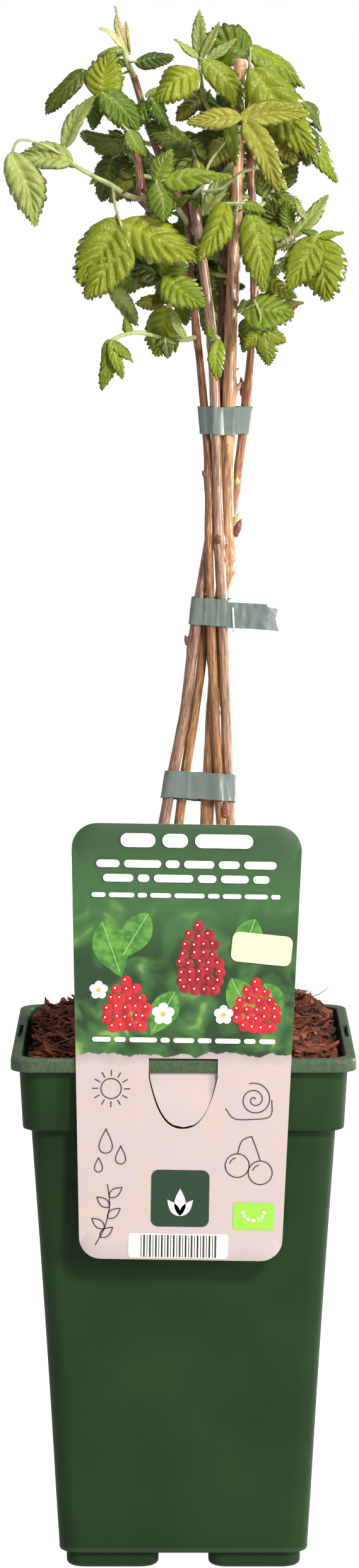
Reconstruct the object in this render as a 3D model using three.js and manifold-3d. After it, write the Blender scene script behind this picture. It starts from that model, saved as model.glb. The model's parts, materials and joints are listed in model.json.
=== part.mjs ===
// Raspberry cane in a pot: five cut canes held by three tapes, leafy side shoots, bark mulch,
// a tall square pot on four pads, and a plant label hooked through the rim.
// Millimetres, +Z up. The origin is on the ground under the middle of the pot, and -Y is the front.
import * as THREE from 'three';
import { mergeVertices } from 'three/addons/utils/BufferGeometryUtils.js';
import Module from 'manifold-3d';

const wasm = await Module();
wasm.setup();

// ---- driving dimensions -------------------------------------------------------------------
const CLEAR = 0.3;               // gap between neighbouring pieces

const POT_HEIGHT = 232;
const RIM_HALF = 75;             // half the outer width over the rim
const RIM_DROP = 6;              // depth of the rim's skirt
const SKIRT_WALL = 1.2;
const COLLAR_HALF_TOP = 71.6;
const COLLAR_HALF_FOOT = 70;
const COLLAR_FOOT = 199.3;       // height of the step under the collar
const BODY_HALF_TOP = 66.4;
const BODY_HALF_FOOT = 54.9;
const POT_WALL = 1.4;
const POT_FLOOR = 2;
const FOOT_HEIGHT = 7.5;
const FOOT_INSET = 3.2;
const FOOT_CHANNEL = 22;         // width of the cross-shaped channel between the pads
const FOOT_ROUND = 2.5;
const CORNER_RADIUS = 8.5;
const SLOT_WIDTH = 31;           // label slot in the middle of each side of the rim

const RIM_PLATE = 1.6;           // thickness of the rim's level top
const SLOT_DROP = 4;             // depth of the slots in the rim
const OVERLAP = 1;               // how far joined blocks run into each other
const PAD_CORNER = 6;            // corner radius of a pad
const PAD_SINK = 0.5;            // how far a pad runs up into the pot's foot
const HOLLOW_UP = 1.2;           // how far the body's hollow runs up into the collar's
const HOLLOW_DOWN = 0.4;         // and the collar's hollow down into the body's
const DRAFT = 0.1;               // the collar's hollow is this much wider at its top
const SLOT_SKIN = 0.05;          // the slots stop this far in front of the collar

const MULCH_EDGE = 225;
const MULCH_TOP = 241;           // flat top that the canes stand on
const MULCH_LUMP = 1.6;
const MULCH_GRID = 6;
const MULCH_PATCH = [37, 17];    // half sizes of the flat top
const MULCH_SLOPE = 0.55;        // share of the half width over which the mound rises
const MULCH_DIP = 2;             // the mound's crown lies this far below the flat top
const MULCH_WAVES = { across: 0.31, start: 1.3, back: 0.27, skew: 0.08 };
const MULCH_TUCK = 0.1;          // the mulch keeps this much more than the gap to the walls
const MULCH_OVER = 9;            // the cap's cutting block rises this far past the flat top
const MULCH_FLARE = 0.6;         // and is this much wider there

const LABEL_TOP = 334.5;
const LABEL_FOOT = 144;
const LABEL_HALF_TOP = 49.5;
const LABEL_HALF_FOOT = 44.1;
const LABEL_THICK = 0.8;
const LABEL_LEAN = 0.88;         // degrees, clockwise from the front
const LABEL_ROUND_TOP = 11;
const LABEL_ROUND_FOOT = 9.5;
const TONGUE_HALF = 14.6;
const TONGUE_HINGE = 233.6;
const TONGUE_FOOT = 202.5;
const TONGUE_THICK = 0.7;
const TONGUE_NOSE = 4;           // how far the tongue's round end draws in at its sides
const TONGUE_NOSE_HALF = 6;      // half the width of its blunt nose
const CARD_BOW = 0.3;            // how far the card's sides bow out beside its corners
const SLIT = 0.8;                // the card's cut is this much longer than the tongue

const TAPE_WIDTH = 12;
const TAPE_THICK = 0.8;
const TAPE_GAP = CLEAR + 0.25;   // space between the tapes and the canes
const CUT_PAST = 1.2;            // a cutting shape runs this many times past what it cuts
const TAPE_SAMPLES = 14;

const TAPE_MIDDLE = 12;          // the tapes tilt about this distance right of the middle

const LIMB_SIDES = 8;
const LIMB_STEP = 26;            // length of a cane or bough between its rings
const LIMB_STEPS_LEAST = 3;
const TIP_SINK = 2;              // how far a tip shoot's guide line starts down inside its limb
const HALVINGS = 24;             // steps of the search for a limb's centre at a height
const STEM_SIDES = 4;
const STALK_SIDES = 3;
const STALK_RADIUS = 0.65;
const MERGE = 0.1;               // edges shorter than this are closed up after a join
const STALK_SINK = 1;            // how far a leaf's or a stalk's foot is sunk into what carries it
const STEM_FOOT = 1.25;          // radius of a green stem at its foot
const STEM_TIP = 0.8;            // and at its tip
const STEM_STEP = 12;            // length of stem between its rings
const STALK_JOIN = 1.2;          // leaves nearer to their stem than this need no stalk of their own
const LEAF_PLUMP = 0.016;        // half thickness of a leaflet over its length
const LEAF_PLUMP_LEAST = 0.35;   // and its least value
const LEAF_RINGS = 4;
const SMALL_LEAF_RINGS = 3;      // rings of a short leaflet
const SMALL_LEAF = 27;           // leaflets under this length have the fewer rings
const LEAF_WIDE = 0.64;          // width of a leaflet over its length
const LEAF_FOLD = 14;            // degrees that each half rises from the midrib
const LEAF_OUTLINE = { foot: 0.6, widest: 0.387, tip: 0.95 };  // its powers, and where it is widest
const LEAF_CROWD = 1.3;          // above 1, a leaflet's rings crowd towards its foot
const LEAF_FACE = [0.75, 0.66];  // how far a leaf faces the front, and how far up
const LEAF_TOWARD = 10;          // degrees that a leaf swings to the front, where nothing else is given
const LEAF_BEND = 35;            // degrees that it bends down over its length
const LEAF_SPREAD = 68;          // degrees between the end leaflet and those beside it
const SIDE_LEAF = 0.78;          // length of a side leaflet over the end one's
const END_STALK = 0.2;           // length of the end leaflet's stalk over its own

// ---- helpers: solids ------------------------------------------------------------------------
function toSolid(geometry) {
  geometry.deleteAttribute('normal');
  geometry.deleteAttribute('uv');
  const welded = mergeVertices(geometry, 1e-4);
  const solid = new wasm.Manifold(new wasm.Mesh({
    numProp: 3,
    vertProperties: new Float32Array(welded.attributes.position.array),
    triVerts: new Uint32Array(welded.index.array),
  }));
  return solid;
}

function join(solids) {
  const whole = wasm.Manifold.union(solids);
  solids.forEach((solid) => solid.delete());
  return whole;
}

function largestPiece(solid) {
  const pieces = solid.decompose();
  const largest = pieces.reduce((best, piece) => (piece.volume() > best.volume() ? piece : best));
  pieces.filter((piece) => piece !== largest).forEach((piece) => piece.delete());
  solid.delete();
  return largest;
}

// Whether two solids share more than a trace of space. Boxes that lie apart settle it at once.
function overlap(a, b) {
  const boxA = a.boundingBox();
  const boxB = b.boundingBox();
  if ([0, 1, 2].some((i) => boxA.min[i] > boxB.max[i] || boxB.min[i] > boxA.max[i])) {
    return false;
  }
  const shared = a.intersect(b);
  const volume = shared.volume();
  shared.delete();
  return volume > 1e-4;
}

const group = new THREE.Group();

function addNode(name, solid, colour, roughness) {
  const mesh = solid.getMesh();
  const geometry = new THREE.BufferGeometry();
  geometry.setAttribute('position', new THREE.Float32BufferAttribute(mesh.vertProperties, 3));
  geometry.setIndex(Array.from(mesh.triVerts));
  geometry.computeVertexNormals();
  const material = new THREE.MeshStandardMaterial({ color: colour, roughness, metalness: 0 });
  const node = new THREE.Mesh(geometry, material);
  node.name = name;
  group.add(node);
}

// Moves every vertex of a geometry by a function of its place.
function bendInto(geometry, place) {
  const position = geometry.attributes.position;
  const point = new THREE.Vector3();
  for (let i = 0; i < position.count; i += 1) {
    point.fromBufferAttribute(position, i);
    place(point);
    position.setXYZ(i, point.x, point.y, point.z);
  }
  return geometry;
}

// ---- helpers: limbs -------------------------------------------------------------------------
function smoothCurve(points) {
  return new THREE.CatmullRomCurve3(points.map((p) => new THREE.Vector3(...p)), false, 'centripetal');
}

// A tapering round limb: a cylinder whose rings are carried along a curve.
function limbSolid(curve, radiusAt, sides, steps) {
  const chord = curve.getPoint(1).sub(curve.getPoint(0)).normalize();
  const ref = Math.abs(chord.y) < 0.8 ? new THREE.Vector3(0, 1, 0) : new THREE.Vector3(1, 0, 0);
  const frames = [];
  for (let i = 0; i <= steps; i += 1) {
    const t = i / steps;
    const along = curve.getTangent(t);
    const side = new THREE.Vector3().crossVectors(ref, along).normalize();
    const up = new THREE.Vector3().crossVectors(along, side);
    frames.push({ centre: curve.getPoint(t), side, up, radius: radiusAt(t) });
  }
  const geometry = new THREE.CylinderGeometry(1, 1, 1, sides, steps);
  bendInto(geometry, (p) => {
    const frame = frames[Math.round((p.y + 0.5) * steps)];
    const { x, z } = p;
    p.copy(frame.centre);
    p.addScaledVector(frame.side, z * frame.radius);
    p.addScaledVector(frame.up, x * frame.radius);
  });
  return toSolid(geometry);
}

// ---- pot --------------------------------------------------------------------------------------
function roundedSquare(half, radius) {
  const flat = half - radius;
  const shape = new THREE.Shape();
  shape.absarc(flat, flat, radius, 0, Math.PI / 2);
  shape.absarc(-flat, flat, radius, Math.PI / 2, Math.PI);
  shape.absarc(-flat, -flat, radius, Math.PI, 1.5 * Math.PI);
  shape.absarc(flat, -flat, radius, 1.5 * Math.PI, 2 * Math.PI);
  shape.closePath();
  return shape;
}

// A block with a rounded square section that tapers from its foot to its top.
function taperedBlock(footZ, topZ, footHalf, topHalf, radius) {
  const geometry = new THREE.ExtrudeGeometry(roundedSquare(1, radius / topHalf), {
    depth: 1, bevelEnabled: false, curveSegments: 3,
  });
  bendInto(geometry, (p) => {
    const half = THREE.MathUtils.lerp(footHalf, topHalf, p.z);
    p.set(p.x * half, p.y * half, THREE.MathUtils.lerp(footZ, topZ, p.z));
  });
  return toSolid(geometry);
}

function box(x0, x1, y0, y1, z0, z1) {
  const geometry = new THREE.BoxGeometry(x1 - x0, y1 - y0, z1 - z0);
  geometry.translate((x0 + x1) / 2, (y0 + y1) / 2, (z0 + z1) / 2);
  return toSolid(geometry);
}

function footPad(signX, signY) {
  const inner = FOOT_CHANNEL / 2;
  const outer = BODY_HALF_FOOT - FOOT_INSET;
  const half = (outer - inner) / 2;
  const geometry = new THREE.ExtrudeGeometry(roundedSquare(half, PAD_CORNER), {
    depth: FOOT_HEIGHT - FOOT_ROUND + PAD_SINK,
    bevelThickness: FOOT_ROUND,
    bevelSize: FOOT_ROUND,
    bevelOffset: -FOOT_ROUND,
    bevelSegments: 1,
    curveSegments: 2,
  });
  const middle = (outer + inner) / 2;
  geometry.translate(signX * middle, signY * middle, FOOT_ROUND);
  const underFloor = FOOT_HEIGHT + OVERLAP;
  return toSolid(geometry).intersect(box(-RIM_HALF, RIM_HALF, -RIM_HALF, RIM_HALF, 0, underFloor));
}

function makePot() {
  const rimFoot = POT_HEIGHT - RIM_DROP;
  const body = taperedBlock(FOOT_HEIGHT, COLLAR_FOOT + OVERLAP, BODY_HALF_FOOT, BODY_HALF_TOP,
    CORNER_RADIUS);
  const collar = taperedBlock(COLLAR_FOOT, POT_HEIGHT - OVERLAP, COLLAR_HALF_FOOT, COLLAR_HALF_TOP,
    CORNER_RADIUS);
  const rim = taperedBlock(rimFoot, POT_HEIGHT, RIM_HALF, RIM_HALF, CORNER_RADIUS + 1);
  const underRim = taperedBlock(rimFoot - OVERLAP, POT_HEIGHT - RIM_PLATE, RIM_HALF - SKIRT_WALL,
    RIM_HALF - SKIRT_WALL, CORNER_RADIUS);
  const hollowBody = taperedBlock(FOOT_HEIGHT + POT_FLOOR, COLLAR_FOOT + HOLLOW_UP,
    BODY_HALF_FOOT - POT_WALL, BODY_HALF_TOP - POT_WALL, CORNER_RADIUS - POT_WALL);
  const hollowCollar = taperedBlock(COLLAR_FOOT + POT_WALL - HOLLOW_DOWN, POT_HEIGHT + OVERLAP,
    COLLAR_HALF_FOOT - POT_WALL, COLLAR_HALF_TOP - POT_WALL + DRAFT, CORNER_RADIUS - POT_WALL);
  const pads = [[1, 1], [-1, 1], [-1, -1], [1, -1]].map(([x, y]) => footPad(x, y));
  let pot = rim.subtract(underRim).add(collar).add(body);
  pot = pot.subtract(hollowBody).subtract(hollowCollar);
  const slot = box(-SLOT_WIDTH / 2, SLOT_WIDTH / 2, -RIM_HALF + SKIRT_WALL, -COLLAR_HALF_TOP - SLOT_SKIN,
    POT_HEIGHT - SLOT_DROP, POT_HEIGHT + OVERLAP);
  for (let quarter = 0; quarter < 4; quarter += 1) {
    pot = pot.subtract(slot.rotate([0, 0, 90 * quarter]));
  }
  return join([pot, ...pads]);
}

// ---- mulch --------------------------------------------------------------------------------------
// The height of the mulch: a mound, low at the walls and flat in the middle, with lumps.
function mulchHeight(x, y) {
  const reach = Math.max(Math.abs(x), Math.abs(y)) / COLLAR_HALF_TOP;
  const mound = THREE.MathUtils.smoothstep(1 - reach, 0, MULCH_SLOPE);
  const { across, start, back, skew } = MULCH_WAVES;
  const lumps = MULCH_LUMP * Math.sin(x * across + start) * Math.cos(y * back + x * skew);
  const onTop = Math.abs(x) < MULCH_PATCH[0] && Math.abs(y) < MULCH_PATCH[1];
  return onTop ? MULCH_TOP : MULCH_EDGE + (MULCH_TOP - MULCH_EDGE - MULCH_DIP) * mound + lumps;
}

function makeMulch() {
  const inside = CLEAR + POT_WALL;
  const footZ = FOOT_HEIGHT + POT_FLOOR + CLEAR;
  const stepZ = COLLAR_FOOT + POT_WALL + CLEAR;
  const column = taperedBlock(footZ, stepZ + 2 * OVERLAP, BODY_HALF_FOOT - inside,
    BODY_HALF_TOP - inside - MULCH_TUCK, CORNER_RADIUS - inside);
  const half = COLLAR_HALF_FOOT - inside - MULCH_TUCK;
  const geometry = new THREE.BoxGeometry(2, 2, 1, MULCH_GRID, MULCH_GRID, 1);
  bendInto(geometry, (p) => {
    const x = p.x * half;
    const y = p.y * half;
    p.set(x, y, p.z > 0 ? mulchHeight(x, y) : stepZ - 0.01);
  });
  const cap = toSolid(geometry);
  const rounded = taperedBlock(stepZ - 2 * OVERLAP, MULCH_TOP + MULCH_OVER, half, half + MULCH_FLARE,
    CORNER_RADIUS - inside);
  return join([column, cap.intersect(rounded)]);
}

// ---- label ----------------------------------------------------------------------------------------
const CARD_BACK = -RIM_HALF - CLEAR;
const CARD_FRONT = CARD_BACK - LABEL_THICK;

function cardShape() {
  const shape = new THREE.Shape();
  const top = LABEL_HALF_TOP;
  const foot = LABEL_HALF_FOOT;
  shape.moveTo(-foot + LABEL_ROUND_FOOT, LABEL_FOOT);
  shape.lineTo(foot - LABEL_ROUND_FOOT, LABEL_FOOT);
  shape.quadraticCurveTo(foot, LABEL_FOOT, foot + CARD_BOW, LABEL_FOOT + LABEL_ROUND_FOOT);
  shape.lineTo(top - CARD_BOW, LABEL_TOP - LABEL_ROUND_TOP);
  shape.quadraticCurveTo(top, LABEL_TOP, top - LABEL_ROUND_TOP, LABEL_TOP);
  shape.lineTo(-top + LABEL_ROUND_TOP, LABEL_TOP);
  shape.quadraticCurveTo(-top, LABEL_TOP, -top + CARD_BOW, LABEL_TOP - LABEL_ROUND_TOP);
  shape.lineTo(-foot - CARD_BOW, LABEL_FOOT + LABEL_ROUND_FOOT);
  shape.quadraticCurveTo(-foot, LABEL_FOOT, -foot + LABEL_ROUND_FOOT, LABEL_FOOT);
  return shape;
}

function tongueShape(half, top, foot) {
  const shape = new THREE.Shape();
  shape.moveTo(-half, top);
  const shoulder = POT_HEIGHT - RIM_DROP - 2 * OVERLAP;
  const side = half - TONGUE_NOSE;
  shape.lineTo(-half, shoulder);
  shape.bezierCurveTo(-side, foot + TONGUE_NOSE, -TONGUE_NOSE_HALF, foot, 0, foot);
  shape.bezierCurveTo(TONGUE_NOSE_HALF, foot, side, foot + TONGUE_NOSE, half, shoulder);
  shape.lineTo(half, top);
  shape.closePath();
  return shape;
}

// Extrudes an upright outline (x across, z up) from one depth to another.
function uprightSheet(shape, frontY, backY) {
  const geometry = new THREE.ExtrudeGeometry(shape, {
    depth: backY - frontY, bevelEnabled: false, curveSegments: 6,
  });
  bendInto(geometry, (p) => p.set(p.x, backY - p.z, p.y));
  return toSolid(geometry);
}

function makeLabel() {
  const card = uprightSheet(cardShape(), CARD_FRONT, CARD_BACK);
  const hole = uprightSheet(tongueShape(TONGUE_HALF + CLEAR, TONGUE_HINGE - OVERLAP, TONGUE_FOOT - SLIT),
    CARD_FRONT - OVERLAP, CARD_BACK + OVERLAP);
  const leaned = card.translate([0, 0, -TONGUE_HINGE]).rotate([0, LABEL_LEAN, 0])
    .translate([0, 0, TONGUE_HINGE]);
  const drop = uprightSheet(tongueShape(TONGUE_HALF, TONGUE_HINGE, TONGUE_FOOT),
    -RIM_HALF + SKIRT_WALL + CLEAR, -RIM_HALF + SKIRT_WALL + CLEAR + TONGUE_THICK);
  const bridge = box(-TONGUE_HALF, TONGUE_HALF, CARD_FRONT + 0.1,
    -RIM_HALF + SKIRT_WALL + CLEAR + TONGUE_THICK, POT_HEIGHT + CLEAR, TONGUE_HINGE);
  return join([leaned.subtract(hole), drop, bridge]);
}

// ---- canes ------------------------------------------------------------------------------------------
const GROUND = MULCH_TOP + CLEAR;

// Each cane: the radius at its foot and its tip, and the points that it leans and crosses through.
const CANES = {
  cane_thick: {
    radius: [3.15, 2.6], colour: 0x9a6a45,
    points: [[6, 10, GROUND], [10, 5.5, 315], [11.3, 3.2, 342], [13, 3.4, 372], [16.2, 3.4, 420],
      [19.4, 2.4, 447], [19.4, 1.4, 473], [20, -1.4, 504], [21.4, -1.6, 550], [23, -1.4, 605],
      [24.9, -1, 662]],
  },
  cane_pale: {
    radius: [2.45, 2.15], colour: 0xb58f76,
    points: [[28, 8, GROUND], [21.6, 3.8, 315], [20, 2.5, 342], [19, 0.2, 372], [17.4, -2.6, 420],
      [15.8, -2.9, 450], [14.2, -3.1, 504], [12.6, -3.1, 538], [8.9, -3, 570], [4.2, -2.6, 600.5]],
  },
  cane_bent: {
    radius: [2.2, 1.5], colour: 0xb9743f,
    points: [[22.5, -7, GROUND], [17.4, -2, 315], [15.9, -0.7, 342], [14.1, -1.4, 372],
      [12, -2.6, 420], [11.3, -2.6, 450], [11.4, -1.4, 478], [9.6, 0, 504], [6.5, 0.4, 538],
      [2.9, 0.8, 570], [1.6, 1.2, 595], [-2.4, 1, 602.5], [-11.8, 0, 623], [-21.7, -1, 654.5]],
  },
  cane_left: {
    radius: [2.6, 1.9], colour: 0xa9785a,
    points: [[-24, -4, GROUND], [-10.4, -2, 315], [-5.7, -1.2, 342], [0.1, -1.2, 372],
      [6, -1.5, 418], [7.2, -1.1, 427], [11.2, 2.5, 450], [13.4, 2.6, 472], [15.3, 2.3, 504],
      [16.5, 2.8, 534], [18.6, 3.4, 604], [19.7, 3.6, 630]],
  },
  cane_short: {
    radius: [2.25, 2.0], colour: 0xb0723c,
    points: [[-12.5, 7, GROUND], [-3.2, 2.2, 315], [0, 1, 342], [4.6, 1.8, 372], [7.8, 2.6, 395],
      [9.3, 3.2, 418], [9.5, 3.3, 427]],
  },
};

// Side boughs spring from a cane: `from` is the cane and the height that they leave it at.
const BOUGHS = {
  bough_right: {
    from: 'cane_thick', radius: [2.25, 1.6], colour: 0xa86f42,
    points: [[19.6, 3, 452], [21, 7.6, 461], [23.4, 6.4, 477], [26.8, 1, 504], [29.5, -0.6, 530],
      [31, -0.6, 552], [30.8, 0, 580], [29.6, 0.6, 612], [28.4, 1, 646]],
  },
  bough_left: {
    from: 'cane_bent', radius: [2.0, 1.4], colour: 0x9c5f3c,
    points: [[2.2, 0.8, 578], [-4.5, 0.2, 586], [-12, -1, 595], [-18.6, -2, 602.4],
      [-19, -2, 609], [-20.4, -1.8, 619], [-25, -1.4, 631]],
  },
};

const limbCurves = {};
const limbSolids = {};
const limbGuards = {};

function tipRadius(spec, t) {
  return THREE.MathUtils.lerp(spec.radius[0], spec.radius[1], t);
}

function makeLimb(name, spec, cutBy) {
  const curve = smoothCurve(spec.points);
  const steps = Math.round(curve.getLength() / LIMB_STEP) + LIMB_STEPS_LEAST;
  let solid = limbSolid(curve, (t) => tipRadius(spec, t), LIMB_SIDES, steps);
  const guard = limbSolid(curve, (t) => tipRadius(spec, t) + CLEAR, LIMB_SIDES, steps);
  if (cutBy) {
    solid = largestPiece(solid.subtract(cutBy));
  }
  limbCurves[name] = curve;
  limbSolids[name] = solid;
  limbGuards[name] = guard;
}

// The centre of a limb at a height, found by halving along its curve.
function limbAt(name, z) {
  const curve = limbCurves[name];
  let low = 0;
  let high = 1;
  for (let i = 0; i < HALVINGS; i += 1) {
    const middle = (low + high) / 2;
    if (curve.getPoint(middle).z < z) {
      low = middle;
    } else {
      high = middle;
    }
  }
  return { point: curve.getPoint(low), t: low };
}

// ---- tapes ------------------------------------------------------------------------------------------
// A taut band round several limbs. Its section at any angle lies against the limb that reaches
// furthest that way, so it runs straight from limb to limb.
function tapeBand(limbs, middleZ, tiltX, tiltY) {
  const steps = 2;
  const centres = [];
  for (let i = 0; i <= steps; i += 1) {
    const z = middleZ + TAPE_WIDTH * (i / steps - 0.5);
    centres.push(limbs.map((name) => {
      const spec = CANES[name] ?? BOUGHS[name];
      const { point, t } = limbAt(name, z);
      return { x: point.x, y: point.y, radius: tipRadius(spec, t) };
    }));
  }
  const reachAt = (row, angle, extra) => {
    const ux = Math.cos(angle);
    const uy = Math.sin(angle);
    const best = centres[row].reduce((a, b) => (
      b.x * ux + b.y * uy + b.radius > a.x * ux + a.y * uy + a.radius ? b : a));
    const reach = best.radius + extra;
    return [best.x + ux * reach, best.y + uy * reach];
  };
  const ring = (extra, name) => {
    const geometry = new THREE.CylinderGeometry(1, 1, 1, TAPE_SAMPLES, steps);
    return toSolid(bendInto(geometry, (p) => {
      const row = Math.round((p.y + 0.5) * steps);
      const half = (TAPE_WIDTH / 2) * (name === 'inner' ? CUT_PAST : 1);
      const isMiddle = Math.hypot(p.x, p.z) < 0.5;
      const angle = Math.atan2(-p.z, p.x);
      const middle = reachAt(row, 0, 0);
      const opposite = reachAt(row, Math.PI, 0);
      const [x, y] = isMiddle
        ? [(middle[0] + opposite[0]) / 2, (middle[1] + opposite[1]) / 2]
        : reachAt(row, angle, extra);
      p.set(x, y, middleZ + (p.y * 2) * half + tiltX * (x - TAPE_MIDDLE) + tiltY * y);
    }));
  };
  return ring(TAPE_GAP + TAPE_THICK, 'outer').subtract(ring(TAPE_GAP, 'inner'));
}

// ---- leaves -----------------------------------------------------------------------------------------
function leafWidthAt(t) {
  const { foot, widest, tip } = LEAF_OUTLINE;
  const shape = (at) => Math.pow(at, foot) * Math.pow(1 - at, tip);
  return shape(t) / shape(widest);
}

// Directions of a leaf: `turn` is its heading seen from the front (0 right, 90 up), `toward` swings
// it to the front, and `roll` turns its upper face about its length.
function leafFrame(turn, toward, roll, back) {
  const a = THREE.MathUtils.degToRad(turn);
  const b = THREE.MathUtils.degToRad(toward);
  const along = new THREE.Vector3(Math.cos(a) * Math.cos(b), -Math.sin(b), Math.sin(a) * Math.cos(b));
  const facing = new THREE.Vector3(0, back ? LEAF_FACE[0] : -LEAF_FACE[0], LEAF_FACE[1]);
  const up = facing.addScaledVector(along, -facing.dot(along)).normalize();
  up.applyAxisAngle(along, THREE.MathUtils.degToRad(roll));
  const side = new THREE.Vector3().crossVectors(along, up);
  return { along, up, side };
}

// One leaflet: a four-sided sphere pressed flat, folded along its midrib and bent down in an arc.
function leaflet(base, frame, length, wide, bend) {
  const geometry = new THREE.SphereGeometry(1, 4, length < SMALL_LEAF ? SMALL_LEAF_RINGS : LEAF_RINGS);
  const arc = Math.max(THREE.MathUtils.degToRad(bend), 0.02);
  const fold = Math.tan(THREE.MathUtils.degToRad(LEAF_FOLD));
  const thick = Math.max(LEAF_PLUMP_LEAST, length * LEAF_PLUMP);
  bendInto(geometry, (p) => {
    const t = Math.pow((1 + Math.min(1, Math.max(-1, p.y))) / 2, LEAF_CROWD);
    const across = Math.abs(p.x) > 0.01 ? Math.sign(p.x) * leafWidthAt(t) * wide * length * 0.5 : 0;
    const high = Math.abs(p.z) > 0.01 ? Math.sign(p.z) * thick : 0;
    const reach = (length * Math.sin(arc * t)) / arc;
    const sink = (-length * (1 - Math.cos(arc * t))) / arc;
    const lift = sink + Math.abs(across) * fold + high;
    p.copy(base);
    p.addScaledVector(frame.along, reach);
    p.addScaledVector(frame.side, across);
    p.addScaledVector(frame.up, lift);
  });
  return toSolid(geometry);
}

function turned(frame, degrees) {
  const angle = THREE.MathUtils.degToRad(degrees);
  return {
    along: frame.along.clone().applyAxisAngle(frame.up, angle),
    side: frame.side.clone().applyAxisAngle(frame.up, angle),
    up: frame.up,
  };
}

// A raspberry leaf: one leaflet, or three with the end one on a short stalk of its own.
function leafBlades(node, leaf) {
  const frame = leafFrame(leaf.turn, leaf.toward ?? LEAF_TOWARD, leaf.roll ?? 0, leaf.back);
  const wide = leaf.wide ?? LEAF_WIDE;
  const bend = leaf.bend ?? LEAF_BEND;
  const root = node.clone().addScaledVector(frame.along, -STALK_SINK);
  if (!leaf.three) {
    return [leaflet(root, frame, leaf.size, wide, bend)];
  }
  const spread = leaf.spread ?? LEAF_SPREAD;
  const stalk = leaf.size * END_STALK;
  const end = node.clone().addScaledVector(frame.along, stalk);
  const stem = limbSolid(new THREE.LineCurve3(root, end), () => STALK_RADIUS, STALK_SIDES, 1);
  const endRoot = end.clone().addScaledVector(frame.along, -STALK_SINK);
  const blades = [leaflet(endRoot, frame, leaf.size, wide, bend)];
  for (const hand of [-1, 1]) {
    const sideFrame = turned(frame, hand * spread);
    const sideRoot = node.clone().addScaledVector(sideFrame.along, -STALK_SINK);
    blades.push(leaflet(sideRoot, sideFrame, leaf.size * (leaf.small ?? SIDE_LEAF), wide, bend));
  }
  return [stem, ...blades];
}

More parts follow.
